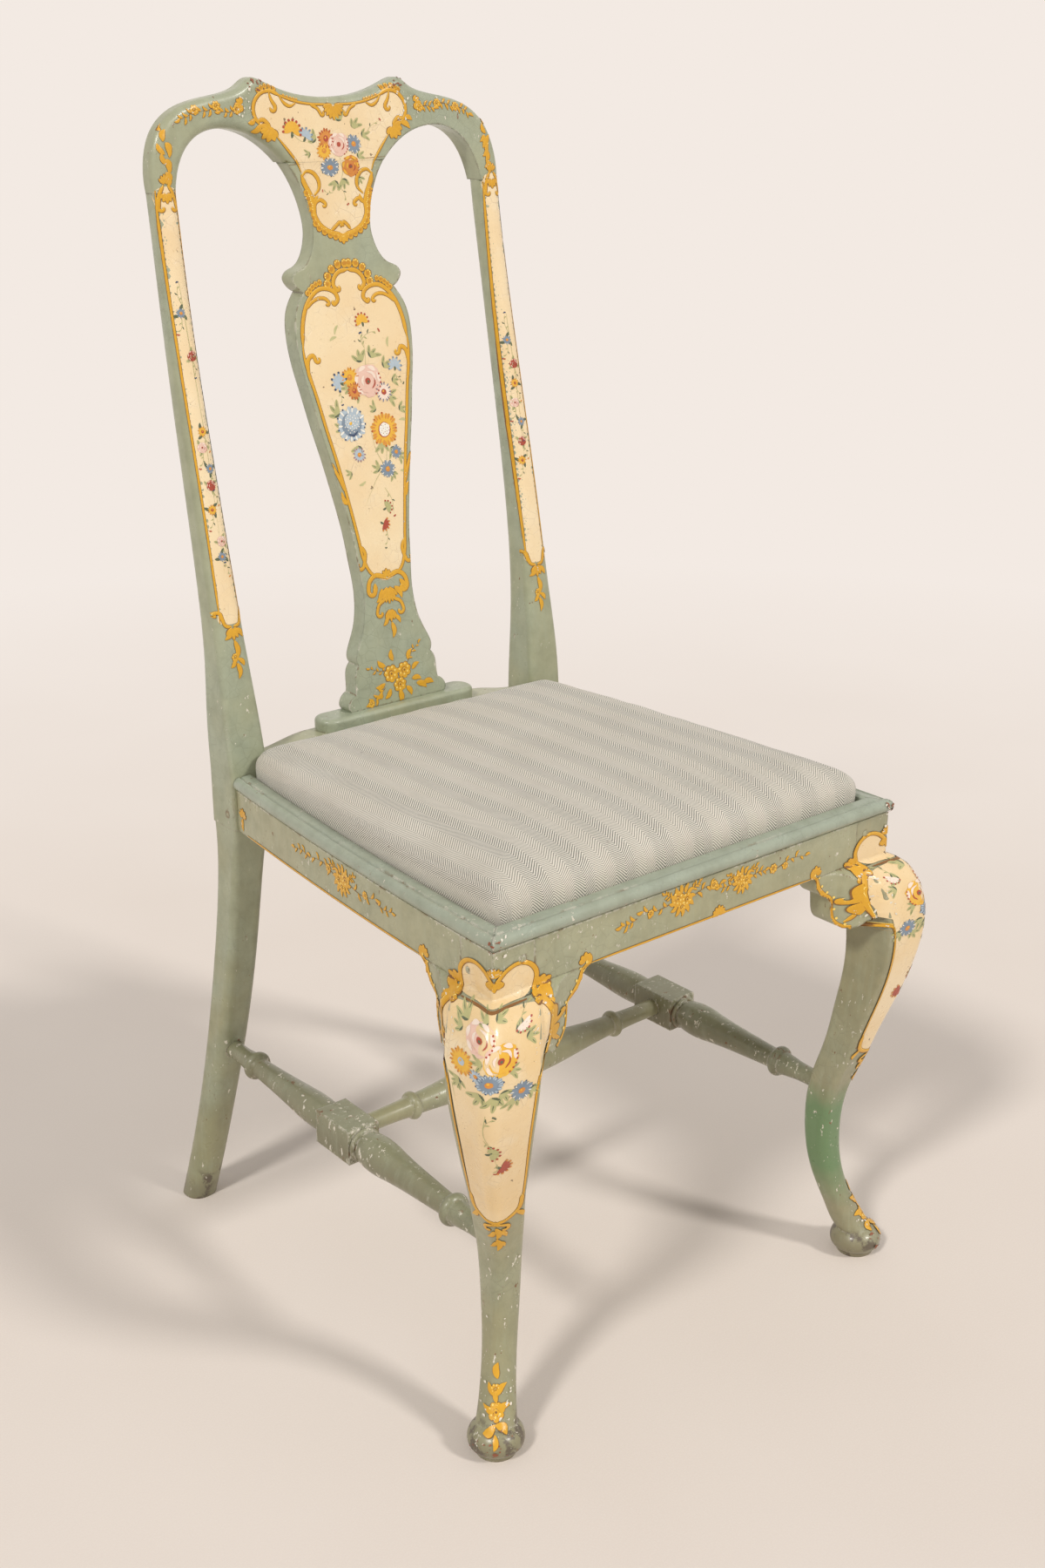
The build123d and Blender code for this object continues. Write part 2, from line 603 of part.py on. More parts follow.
# ================================================================ crest rail
with BuildPart() as crest:
    with BuildSketch(Plane.YZ):
        with BuildLine():
            front = Spline(*back_points(back_curve))
            back = Spline(*back_points(back_curve, crest_depth))
            Line(front @ 0, back @ 0)
            Line(front @ 1, back @ 1)
        make_face()
    extrude(amount=half_front, both=True)
    with BuildSketch(Plane.XZ):
        with BuildLine():
            right_top = [(x * hoop_spread, stile_top + rise) for x, rise in crest_top]
            arch = [(x * hoop_spread, stile_top + rise) for x, rise in crest_arch]
            top = Spline(*[(-x, z) for x, z in reversed(right_top)], *right_top[1:])
            right_arch = Spline(*arch)
            left_arch = Spline(*[(-x, z) for x, z in arch])
            Line(top @ 1, right_arch @ 0)
            Line(top @ 0, left_arch @ 0)
            Line(right_arch @ 1, left_arch @ 1)
        make_face()
    extrude(amount=2 * seat_depth, both=True, mode=Mode.INTERSECT)
    outline_edges = crest.faces().sort_by(SortBy.AREA)[-2:].edges()
    fillet(outline_edges.filter_by(lambda edge: edge.bounding_box().size.Z > 1), crest_softening)
    add(splat.part, mode=Mode.SUBTRACT)
    with Locations((stile_dowel_x, stile_dowel_y, stile_top), (-stile_dowel_x, stile_dowel_y, stile_top)):
        Cylinder(dowel_diameter / 2, dowel_length + dowel_play, mode=Mode.SUBTRACT)
crest.part.label = "crest_rail"

# ================================================================ shoe
shoe_front = seat_depth + shoe_setback
with BuildPart() as shoe:
    with BuildSketch(Plane.XY.offset(seat_height + rear_rail_middle_rise)):
        with Locations((0, shoe_front + shoe_depth / 2)):
            RectangleRounded(shoe_length, shoe_depth, shoe_depth / 2 - 1)
    extrude(amount=shoe_height)
    fillet(shoe.faces().sort_by(Axis.Z)[-1].edges(), shoe_edge_radius)
    add(splat.part, mode=Mode.SUBTRACT)
shoe.part.label = "splat_shoe"

# ================================================================ front legs
half_root = 2 ** 0.5 / 2      # a diagonal reach as a step along X and along Y
outward = Axis((0, 0, 0), (1, -1, 0))

with BuildPart() as front_leg:
    # knee, shank and ankle; each section is square to the seat, with a softer outer corner
    for drawn_height, outer_reach, inner_reach, outer_corner, other_corner in leg_stations:
        lost_out = (2 ** 0.5 - 1) * outer_corner
        lost_in = (2 ** 0.5 - 1) * other_corner
        size = (outer_reach - inner_reach + lost_out + lost_in) * half_root
        centre = outer_reach + lost_out - size * half_root
        with BuildSketch(Plane((
            half_front + centre * half_root, -centre * half_root,
            ankle_base + (drawn_height - ankle_base) * front_leg_stretch,
        ))) as section:
            Rectangle(size, size)
            fillet(section.vertices().sort_by(outward)[-1], outer_corner)
            fillet(section.vertices().sort_by(outward)[:3], other_corner)
    loft()
    # turned pad foot on its disc
    with BuildSketch(Plane((foot_x, foot_y, 0), x_dir=(1, 0, 0), z_dir=(0, -1, 0))):
        with BuildLine():
            disc = Polyline(
                (0, foot_pad_height), (0, 0), (foot_disc_radius, 0), (foot_disc_radius + 1, foot_disc_height)
            )
            pad = Spline(
                disc @ 1, (foot_pad_radius - 1, foot_disc_height + 3.6), (foot_pad_radius, 14),
                (foot_pad_radius - 2.6, 21), (12, foot_pad_height),
            )
            Line(pad @ 1, disc @ 0)
        make_face()
    revolve(axis=Axis((foot_x, foot_y, 0), (0, 0, 1)))
    # square head between the rails
    with BuildSketch(Plane.XY.offset(knee_top)):
        with BuildLine():
            Polyline(
                (side_x(post_inner_face, rail_face), post_inner_face), (front_post_inner_x, post_inner_face),
                (front_post_inner_x, rail_face), (side_x(rail_face, rail_face), rail_face), close=True,
            )
        make_face()
    extrude(amount=moulding_bottom - knee_top)
    # mortises
    with BuildSketch(Plane.XY.offset(rail_bottom + tenon_shoulder - joint_clearance)):
        with Locations((front_post_inner_x + tenon_length / 2, rail_face + rail_thickness / 2)):
            Rectangle(tenon_length + 2 * joint_clearance, tenon_thickness + 2 * joint_clearance)
        with Locations((side_x(post_inner_face, rail_face + rail_thickness / 2), post_inner_face - tenon_length / 2)):
            Rectangle(tenon_thickness + 2 * joint_clearance, tenon_length + 2 * joint_clearance)
    extrude(amount=tenon_height + 2 * joint_clearance, mode=Mode.SUBTRACT)
    # socket for the side stretcher
    with BuildSketch(Plane(
        stretcher_axis.position - stretcher_direction * stretcher_tenon_inset, z_dir=stretcher_direction
    )):
        Circle(stretcher_tenon_radius)
    extrude(amount=front_ring_from_leg, mode=Mode.SUBTRACT)
    add(joint_pegs.part, mode=Mode.SUBTRACT)
front_leg.part.label = "front_leg_right"

# ================================================================ knee brackets
with BuildPart() as front_bracket:
    with BuildSketch(Plane(
        (half_front - rail_face, rail_face + bracket_thickness, 0), x_dir=(-1, 0, 0), z_dir=(0, 1, 0)
    )):
        with BuildLine():
            hollow = Spline(*[(u, rail_bottom - drop) for u, drop in bracket_hollow])
            lobe = Spline(*[(u, rail_bottom - drop) for u, drop in bracket_lobe])
            Line(hollow @ 1, lobe @ 0)
            Polyline(
                lobe @ 1, (bracket_root, (lobe @ 1).Y + bracket_root_rise), (bracket_root, rail_bottom), hollow @ 0
            )
        make_face()
    extrude(amount=-bracket_thickness - bracket_swell[-1][1])
    # the face swells forward to meet the knee, in plan and in height
    bracket_drop = bracket_roll[-1][0]
    with BuildSketch(Plane.XY.offset(rail_bottom - bracket_drop)):
        with BuildLine():
            swell = Spline(*[(half_front - rail_face - u, rail_face - out) for u, out in bracket_swell])
            Polyline(
                swell @ 1, (half_front, (swell @ 1).Y), (half_front, rail_face + bracket_thickness),
                ((swell @ 0).X, rail_face + bracket_thickness), swell @ 0,
            )
        make_face()
    extrude(amount=bracket_drop, mode=Mode.INTERSECT)
    with BuildSketch(Plane.YZ):
        with BuildLine():
            roll = Spline(*[(rail_face - out, rail_bottom - drop) for drop, out in bracket_roll])
            Polyline(
                roll @ 1, (rail_face + bracket_thickness, (roll @ 1).Y),
                (rail_face + bracket_thickness, rail_bottom), roll @ 0,
            )
        make_face()
    extrude(amount=half_front, mode=Mode.INTERSECT)
    add(front_leg.part, mode=Mode.SUBTRACT)
front_bracket.part.label = "knee_bracket_front_right"

corner_diagonal = Plane((half_front - rail_face, rail_face, 0), x_dir=(0, 0, 1), z_dir=(1, 1, 0))
bracket_reach = bracket_hollow[0][0]
side_run = Vector(
    side_x(rail_face + bracket_reach, rail_face) - half_front + rail_face, bracket_reach, 0
)
with BuildPart() as side_bracket:
    twin = mirror(front_bracket.part, about=corner_diagonal, mode=Mode.PRIVATE)
    add(twin.rotate(Axis((half_front - rail_face, rail_face, 0), (0, 0, 1)), Vector(0, 1, 0).get_angle(side_run)))
    add(front_leg.part, mode=Mode.SUBTRACT)
side_bracket.part.label = "knee_bracket_side_right"

# ================================================================ corner blocks
with BuildPart() as front_block:
    with BuildSketch(Plane.XY.offset(rail_bottom + corner_block_gap)):
        with BuildLine():
            corner_x = side_x(front_block_size, rail_face + rail_thickness)
            corner_y = rail_face + rail_thickness
            Polyline(
                (corner_x, corner_y), (corner_x - front_block_size, corner_y),
                (corner_x, corner_y + front_block_size), close=True,
            )
        make_face()
    extrude(amount=corner_block_height)
    add(front_leg.part, mode=Mode.SUBTRACT)
    add(side_rail.part, mode=Mode.SUBTRACT)
front_block.part.label = "corner_block_front_right"

with BuildPart() as rear_block:
    with BuildSketch(Plane.XY.offset(rail_bottom + corner_block_gap)):
        with BuildLine():
            corner_x = side_x(seat_depth, rail_face + rail_thickness)
            corner_y = seat_depth - rear_ledge_width
            Polyline(
                (corner_x, corner_y), (corner_x - rear_block_size, corner_y),
                (corner_x, corner_y - rear_block_size), close=True,
            )
        make_face()
    extrude(amount=corner_block_height)
    add(side_rail.part, mode=Mode.SUBTRACT)
rear_block.part.label = "corner_block_rear_right"

# ================================================================ slip seat
slip_front = slip_edge + cover_thickness
slip_rear = seat_depth - seat_gap - cover_thickness
slip_middle_y = (slip_front + slip_rear) / 2
slip_rail_run = (slip_front + slip_rail_width, slip_rear - slip_rail_width)
strap_places = (-webbing_pitch, 0, webbing_pitch)
strap_front = slip_front + webbing_setback
strap_rear = slip_rear - webbing_setback
fold_middle = webbing_fold / 2

tack_spread = webbing_width / 3
strap_tacks = [
    (x + step, y) for x in strap_places for y in (strap_front + fold_middle, strap_rear - fold_middle)
    for step in (-tack_spread, 0, tack_spread)
]
for place in strap_places:
    y = slip_middle_y + place
    tack_x = side_x(y, slip_edge + cover_thickness + webbing_setback) - fold_middle
    strap_tacks += [(side * tack_x, y + step) for side in (-1, 1) for step in (-tack_spread, 0, tack_spread)]

with BuildPart() as webbing_tacks:
    with BuildSketch(Plane.XY.offset(slip_frame_top + 2 * webbing_thickness)):
        with Locations(strap_tacks):
            Circle(tack_head_radius)
    extrude(amount=tack_head_height)
    with BuildSketch(Plane.XY.offset(slip_frame_top + 2 * webbing_thickness)):
        with Locations(strap_tacks):
            Circle(tack_shank_radius)
    extrude(amount=-tack_shank_length)
webbing_tacks.part.label = "webbing_tacks"

# lengthwise straps lie on the frame, crosswise straps over them; the ends are doubled
with BuildPart() as webbing_lengthwise:
    with BuildSketch(Plane.XY.offset(slip_frame_top)):
        with Locations([(x, slip_middle_y) for x in strap_places]):
            Rectangle(webbing_width, strap_rear - strap_front)
    extrude(amount=webbing_thickness)
    with BuildSketch(Plane.XY.offset(slip_frame_top + webbing_thickness)):
        with Locations([(x, y) for x in strap_places
                        for y in (strap_front + fold_middle, strap_rear - fold_middle)]):
            Rectangle(webbing_width, webbing_fold)
    extrude(amount=webbing_thickness)
    add(webbing_tacks.part, mode=Mode.SUBTRACT)
webbing_lengthwise.part.label = "webbing_lengthwise"

with BuildPart() as webbing_crosswise:
    for y in [slip_middle_y + place for place in strap_places]:
        strap_x = side_x(y, slip_edge + cover_thickness + webbing_setback)
        with BuildSketch(Plane.XY.offset(slip_frame_top + webbing_thickness)):
            with Locations((0, y)):
                Rectangle(2 * strap_x, webbing_width)
        extrude(amount=webbing_thickness)
        with BuildSketch(Plane.XY.offset(slip_frame_top)):
            with Locations((strap_x - fold_middle, y), (fold_middle - strap_x, y)):
                Rectangle(webbing_fold, webbing_width)
        extrude(amount=webbing_thickness)
    add(webbing_tacks.part, mode=Mode.SUBTRACT)
webbing_crosswise.part.label = "webbing_crosswise"

# tacks that hold the cover, driven from below
cover_tack_line = slip_edge + cover_tack_inset
side_tack_run = seat_depth - rear_tack_margin - cover_tack_line - front_tack_margin
cover_tack_y = [cover_tack_line + front_tack_margin + share * side_tack_run for share in (0, 0.2, 0.4, 0.6, 0.8, 1)]
front_tack_reach = front_post_inner_x - cover_tack_margin
rear_tack_reach = post_inner_x - cover_tack_margin
cover_tack_places = [(side * side_x(y, cover_tack_line), y) for side in (-1, 1) for y in cover_tack_y]
cover_tack_places += [
    (share * front_tack_reach, cover_tack_line) for share in (-1, -0.6, -0.2, 0.2, 0.6, 1)
]
cover_tack_places += [
    (share * rear_tack_reach, seat_depth - seat_gap - cover_tack_inset) for share in (-1, -0.5, 0, 0.5, 1)
]

with BuildPart() as cover_tacks:
    with BuildSketch(Plane.XY.offset(slip_bottom)):
        with Locations(cover_tack_places):
            Circle(tack_head_radius)
    extrude(amount=-tack_head_height)
    with BuildSketch(Plane.XY.offset(slip_bottom)):
        with Locations(cover_tack_places):
            Circle(tack_shank_radius)
    extrude(amount=tack_shank_length)
cover_tacks.part.label = "cover_tacks"

# slip frame: side rails tenoned between the front and rear rails
with BuildPart() as slip_side_rail:
    with BuildSketch(Plane.XY.offset(slip_frame_bottom)):
        with BuildLine():
            slip_outline(cover_thickness)
        make_face()
        with BuildLine():
            slip_outline(cover_thickness + slip_rail_width)
        make_face(mode=Mode.SUBTRACT)
        with Locations((half_front / 2, slip_middle_y)):
            Rectangle(half_front, slip_rail_run[1] - slip_rail_run[0], mode=Mode.INTERSECT)
    extrude(amount=slip_rail_thickness)
    with BuildSketch(Plane.XY.offset(slip_frame_bottom + (slip_rail_thickness - slip_tenon_thickness) / 2)):
        for y, out in ((slip_rail_run[0], -1), (slip_rail_run[1], 1)):
            tenon_x = side_x(y, slip_edge + cover_thickness + slip_rail_width / 2)
            with Locations((tenon_x, y + out * slip_tenon_length / 2)):
                Rectangle(slip_rail_width / 2, slip_tenon_length)
    extrude(amount=slip_tenon_thickness)
    add(webbing_tacks.part, mode=Mode.SUBTRACT)
    add(cover_tacks.part, mode=Mode.SUBTRACT)
slip_side_rail.part.label = "slip_right_rail"

with BuildPart() as slip_front_rail:
    with BuildSketch(Plane.XY.offset(slip_frame_bottom)) as section:
        with BuildLine():
            slip_outline(cover_thickness)
        make_face()
        fillet(section.vertices(), slip_corner_radius)
        with Locations((0, slip_front + slip_rail_width / 2)):
            Rectangle(seat_front_width, slip_rail_width, mode=Mode.INTERSECT)
    extrude(amount=slip_rail_thickness)
    add(slip_side_rail.part, mode=Mode.SUBTRACT)
    add(mirrored(slip_side_rail.part), mode=Mode.SUBTRACT)
    add(webbing_tacks.part, mode=Mode.SUBTRACT)
    add(cover_tacks.part, mode=Mode.SUBTRACT)
slip_front_rail.part.label = "slip_front_rail"

with BuildPart() as slip_rear_rail:
    with BuildSketch(Plane.XY.offset(slip_frame_bottom)) as section:
        with BuildLine():
            slip_outline(cover_thickness)
        make_face()
        fillet(section.vertices(), slip_corner_radius)
        with Locations((0, slip_rear - slip_rail_width / 2)):
            Rectangle(seat_front_width, slip_rail_width, mode=Mode.INTERSECT)
    extrude(amount=slip_rail_thickness)
    add(slip_side_rail.part, mode=Mode.SUBTRACT)
    add(mirrored(slip_side_rail.part), mode=Mode.SUBTRACT)
    add(webbing_tacks.part, mode=Mode.SUBTRACT)
    add(cover_tacks.part, mode=Mode.SUBTRACT)
slip_rear_rail.part.label = "slip_rear_rail"

with BuildPart() as hessian:
    with BuildSketch(Plane.XY.offset(hessian_bottom)):
        with BuildLine():
            slip_outline(cover_thickness + hessian_setback)
        make_face()
    extrude(amount=hessian_thickness)
hessian.part.label = "hessian"

# stuffing: a low domed cushion on the hessian
with BuildPart() as stuffing:
    for inset, rise in crown_stations:
        with BuildSketch(Plane.XY.offset(cushion_base + rise)) as section:
            with BuildLine():
                slip_outline(cover_thickness + inset)
            make_face()
            fillet(section.vertices(), slip_corner_radius + inset / 2)
    loft(ruled=True)
stuffing.part.label = "seat_stuffing"

# cover: a skin over the stuffing, down the sides of the frame and turned under it
with BuildPart() as seat_cover:
    with BuildSketch(Plane.XY.offset(slip_bottom)) as section:
        with BuildLine():
            slip_outline(0)
        make_face()
        fillet(section.vertices(), slip_corner_radius + cover_thickness)
    extrude(amount=cushion_base - slip_bottom)
    for inset, rise in crown_stations:
        lift = cover_thickness if rise else 0
        with BuildSketch(Plane.XY.offset(cushion_base + rise + lift)) as section:
            with BuildLine():
                slip_outline(inset)
            make_face()
            fillet(section.vertices(), slip_corner_radius + cover_thickness + inset / 2)
    loft(ruled=True)
    with BuildSketch(Plane.XY.offset(slip_frame_bottom)) as section:
        with BuildLine():
            slip_outline(cover_thickness)
        make_face()
        fillet(section.vertices(), slip_corner_radius)
    extrude(amount=cushion_base - slip_frame_bottom, mode=Mode.SUBTRACT)
    add(stuffing.part, mode=Mode.SUBTRACT)
    with BuildSketch(Plane.XY.offset(slip_bottom)):
        with BuildLine():
            slip_outline(cover_flange)
        make_face()
    extrude(amount=cover_thickness, mode=Mode.SUBTRACT)
    add(cover_tacks.part, mode=Mode.SUBTRACT)
seat_cover.part.label = "seat_cover"

# ================================================================ whole chair
right_hand = (
    side_rail, side_moulding, side_stretcher, rear_leg, front_leg, front_bracket, side_bracket,
    front_block, rear_block, slip_side_rail,
)
pieces = [piece.part for piece in (
    front_rail, rear_rail, front_moulding, cross_stretcher, crest, splat, shoe, joint_pegs, crest_dowels,
    slip_front_rail, slip_rear_rail, webbing_lengthwise, webbing_crosswise, webbing_tacks, hessian,
    stuffing, seat_cover, cover_tacks,
)]
for piece in right_hand:
    twin = mirrored(piece.part)
    twin.label = piece.part.label.replace("right", "left")
    pieces += [piece.part, twin]

extent = Compound(pieces).bounding_box()
to_middle = Location((0, -(extent.min.Y + extent.max.Y) / 2, 0))
print("shift along Y:", to_middle.position.Y)
for piece in pieces:
    placed = piece.moved(to_middle)
    export_step(placed, f"parts/{piece.label}.step")
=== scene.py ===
"""Painted side chair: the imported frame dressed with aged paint, painted flowers and a woven seat."""
import math
import random

import bmesh
import bpy
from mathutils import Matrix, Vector, noise
from mathutils.bvhtree import BVHTree
from mathutils.geometry import delaunay_2d_cdt


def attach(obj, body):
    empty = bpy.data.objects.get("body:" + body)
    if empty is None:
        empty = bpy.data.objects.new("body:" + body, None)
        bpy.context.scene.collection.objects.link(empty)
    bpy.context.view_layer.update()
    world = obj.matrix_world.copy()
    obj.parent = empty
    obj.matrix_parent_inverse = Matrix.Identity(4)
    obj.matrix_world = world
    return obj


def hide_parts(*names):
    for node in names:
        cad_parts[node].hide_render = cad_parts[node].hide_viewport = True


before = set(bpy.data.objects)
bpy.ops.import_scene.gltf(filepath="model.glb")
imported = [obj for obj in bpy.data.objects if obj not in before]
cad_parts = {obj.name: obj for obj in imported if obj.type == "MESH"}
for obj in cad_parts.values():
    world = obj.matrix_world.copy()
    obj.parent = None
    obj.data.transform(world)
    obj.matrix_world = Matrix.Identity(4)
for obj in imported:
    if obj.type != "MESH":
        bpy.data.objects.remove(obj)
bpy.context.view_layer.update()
scene = bpy.context.scene
rad = math.radians
MM = 0.001
SEAT_FRONT = -246.336        # Y of the seat's front corners, where the seat's own depth starts, mm


def new_object(name, data):
    thing = bpy.data.objects.new(name, data)
    scene.collection.objects.link(thing)
    return thing


# ------------------------------------------------------------------ shader nodes
def srgb(red, green, blue):
    """An 8-bit screen colour as a linear one."""
    values = [channel / 255 for channel in (red, green, blue)]
    return tuple(v / 12.92 if v <= 0.04045 else ((v + 0.055) / 1.055) ** 2.4 for v in values) + (1.0,)


class Nodes:
    """The node tree of a material or a world."""

    def __init__(self, owner):
        owner.use_nodes = True
        self.tree = owner.node_tree
        self.tree.nodes.clear()

    def join(self, value, socket):
        if isinstance(value, bpy.types.NodeSocket):
            self.tree.links.new(value, socket)
        else:
            socket.default_value = value

    def node(self, kind, inputs, **settings):
        """A shader node; an input is a value or another node's output."""
        node = self.tree.nodes.new(kind)
        for key, value in settings.items():
            setattr(node, key, value)
        for key, value in inputs.items():
            self.join(value, node.inputs[key])
        return node

    def stretch(self, vector, scale):
        return self.node("ShaderNodeMapping", {"Vector": vector, "Scale": scale}).outputs[0]

    def place(self, scale=(1, 1, 1)):
        """Object coordinates, stretched."""
        return self.stretch(self.node("ShaderNodeTexCoord", {}).outputs["Object"], scale)

    def noise(self, vector, scale, detail=3.0, roughness=0.55):
        return self.node("ShaderNodeTexNoise", {
            "Vector": vector, "Scale": scale, "Detail": detail, "Roughness": roughness,
        }).outputs[0]

    def ramp(self, value, low, high, start=0.0, end=1.0):
        """A value spread from low..high to start..end, held at both ends."""
        return self.node("ShaderNodeMapRange", {0: value, 1: low, 2: high, 3: start, 4: end}, clamp=True).outputs[0]

    def math(self, operation, first, second=0.0, clamp=False):
        return self.node("ShaderNodeMath", {0: first, 1: second}, operation=operation, use_clamp=clamp).outputs[0]

    def times(self, first, second):
        return self.math("MULTIPLY", first, second)

    def plus(self, first, second, clamp=False):
        return self.math("ADD", first, second, clamp)

    def mix(self, factor, first, second):
        return self.node("ShaderNodeMix", {0: factor, 6: first, 7: second}, data_type="RGBA").outputs[2]

    def cracks(self, vector, scale, width, where):
        """Fine crazing, as strong as another value lets it show."""
        cells = self.node("ShaderNodeTexVoronoi", {"Vector": vector, "Scale": scale}, feature="DISTANCE_TO_EDGE")
        return self.times(self.ramp(cells.outputs[0], width, 0.0), where)

    def seen(self, *rays):
        """1 for the kinds of ray that see the backdrop as it looks."""
        path = self.node("ShaderNodeLightPath", {})
        share = path.outputs[rays[0]]
        for ray in rays[1:]:
            share = self.math("MAXIMUM", share, path.outputs[ray])
        return share


class Material(Nodes):
    """A material whose body colour is laid on in coats."""

    def __init__(self, name, first, solid=False):
        self.material = bpy.data.materials.new(name)
        super().__init__(self.material)
        self.shader = self.node("ShaderNodeBsdfPrincipled", {})
        self.output = self.node("ShaderNodeOutputMaterial", {"Surface": self.shader.outputs["BSDF"]})
        self.body = srgb(*first)
        if solid:
            self.material.diffuse_color = self.body

    def cover(self, factor, colour):
        self.body = self.mix(factor, self.body, srgb(*colour))

    def tint(self, value, low, high, share, colour):
        """A coat that comes in as a value goes from low to high, up to a share."""
        self.cover(self.ramp(value, low, high, 0.0, share), colour)

    def finish(self, roughness, bump=(), **inputs):
        """Joins the coats to the shader; bump is height, strength, distance and an eased normal."""
        inputs.update({"Base Color": self.body, "Roughness": roughness})
        if bump:
            names = ("Height", "Strength", "Distance", "Normal")
            inputs["Normal"] = self.node("ShaderNodeBump", dict(zip(names, bump))).outputs[0]
        for key, value in inputs.items():
            self.join(value, self.shader.inputs[key.replace("_", " ")])
        return self.material


# ------------------------------------------------------------------ materials
GESSO = srgb(222, 216, 200)
BARE = srgb(126, 92, 62)
MOTTLE = 0.35                # how much of its shade a brushed pigment takes


def aged_paint(name, colour, low_colour, chips, edge, low_from=(0.10, 0.62), bluish=0.4, repair=None):
    """Old green paint: uneven coats, rubbed-in dirt, chips to the white ground and to bare wood."""
    m = Material(name, colour, solid=True)
    spot = m.place()
    height = m.node("ShaderNodeSeparateXYZ", {0: spot}).outputs[2]
    wide = m.noise(spot, 9.0, 4.0)
    fine = m.noise(spot, 55.0, 5.0, 0.65)
    streaks = m.noise(m.place((1, 1, 0.12)), 160.0, 3.0, 0.6)
    tone = m.plus(m.ramp(height, *low_from), m.ramp(wide, 0.35, 0.65, -0.22, 0.22), clamp=True)
    m.body = m.mix(tone, srgb(*low_colour), m.body)
    m.tint(wide, 0.46, 0.66, bluish, (158, 172, 158))
    m.tint(fine, 0.40, 0.72, 0.30, (104, 108, 84))
    m.tint(streaks, 0.50, 0.75, 0.22, (176, 184, 160))
    if repair:
        # a band touched up in a brighter green, between two heights
        low, high = repair
        ragged = m.plus(height, m.ramp(m.noise(spot, 26.0), 0.3, 0.7, -0.006, 0.006))
        band = m.times(m.ramp(ragged, low - 0.008, low + 0.032), m.ramp(ragged, high + 0.006, high - 0.026))
        m.cover(m.times(band, 0.88), (100, 134, 90))
    # the foot is rubbed grey-brown just above the floor
    foot = m.plus(height, m.ramp(wide, 0.3, 0.7, -0.010, 0.010))
    m.tint(foot, 0.028, 0.010, 0.50, (112, 104, 84))
    m.cover(m.times(m.ramp(foot, 0.036, 0.024), m.ramp(fine, 0.53, 0.60)), (100, 90, 74))
    cracks = m.cracks(spot, 95.0, 0.05, m.ramp(wide, 0.50, 0.62))
    m.cover(m.times(cracks, 0.14), (78, 74, 56))
    # chips: along the hard edges, and loose ones in patches
    eased = m.node("ShaderNodeBevel", {"Radius": 0.0030}, samples=4).outputs[0]
    normal = m.node("ShaderNodeNewGeometry", {}).outputs["Normal"]
    flat = m.node("ShaderNodeVectorMath", {0: eased, 1: normal}, operation="DOT_PRODUCT").outputs["Value"]
    speck = m.noise(m.place((1, 1, 0.55)), 210.0, 3.0, 0.7)
    patches = m.noise(spot, 17.0, 3.0, 0.6)
    near_edge = m.times(m.ramp(flat, 0.993, 0.90), m.ramp(patches, 0.66 - 0.3 * edge, 0.72 - 0.2 * edge))
    near_edge = m.times(near_edge, m.ramp(speck, 0.44, 0.49))
    loose = m.times(m.ramp(speck, 0.72 - 0.09 * chips, 0.735 - 0.09 * chips),
                    m.ramp(patches, 0.60 - 0.16 * chips, 0.66 - 0.16 * chips))
    chip = m.math("MAXIMUM", near_edge, loose)
    deep = m.ramp(m.noise(spot, 60.0, 2.0), 0.55, 0.60)
    m.body = m.mix(chip, m.body, m.mix(deep, GESSO, BARE))
    rough = m.plus(m.ramp(fine, 0.3, 0.7, 0.25, 0.47), m.times(chip, 0.35), clamp=True)
    relief = m.math("SUBTRACT", m.times(streaks, 0.35), m.plus(m.times(chip, 0.7), m.times(cracks, 0.4)))
    return m.finish(rough, (relief, 0.5, 0.0005, eased), Coat_Weight=0.30, Coat_Roughness=0.18)


def plain_paint(name, colour, shade, worn=0.0, roughness=0.36, relief=0.25, coat=0.25):
    """One pigment of the decoration, brushed unevenly, with small losses."""
    m = Material(name, colour, solid=True)
    spot = m.place()
    wide = m.noise(spot, 28.0, 4.0)
    fine = m.noise(spot, 240.0, 3.0, 0.6)
    m.tint(fine, 0.35, 0.70, MOTTLE, shade)
    m.tint(wide, 0.48, 0.72, MOTTLE, shade)
    if worn:
        lost = m.times(m.ramp(fine, 0.66, 0.68), m.ramp(wide, 0.62 - 0.2 * worn, 0.66 - 0.2 * worn))
        m.body = m.mix(lost, m.body, GESSO)
    rough = m.ramp(fine, 0.3, 0.7, roughness - 0.08, roughness + 0.10)
    return m.finish(rough, (fine, relief, 0.0003), Coat_Weight=coat, Coat_Roughness=0.22)


def cream_paint(name, light, deep, pale):
    """The varnished cream grounds under the flowers: yellowed, freckled and finely crazed."""
    m = Material(name, light, solid=True)
    spot = m.place()
    patch = m.noise(spot, 34.0, 4.0, 0.6)
    m.tint(m.noise(spot, 12.0, 4.0), 0.36, 0.66, 1.0, deep)
    m.tint(patch, 0.52, 0.72, 0.35, pale)
    m.tint(m.noise(spot, 330.0, 3.0, 0.65), 0.64, 0.74, 0.5, (190, 150, 96))
    m.tint(m.noise(spot, 150.0, 2.0, 0.5), 0.73, 0.745, 0.8, (96, 70, 44))
    cracks = m.cracks(spot, 120.0, 0.035, m.ramp(patch, 0.50, 0.64))
    m.cover(m.times(cracks, 0.28), (140, 100, 60))
    relief = m.math("SUBTRACT", m.times(patch, 0.6), cracks)
    return m.finish(m.ramp(patch, 0.3, 0.7, 0.20, 0.36), (relief, 0.35, 0.0005), Coat_Weight=0.6, Coat_Roughness=0.10)


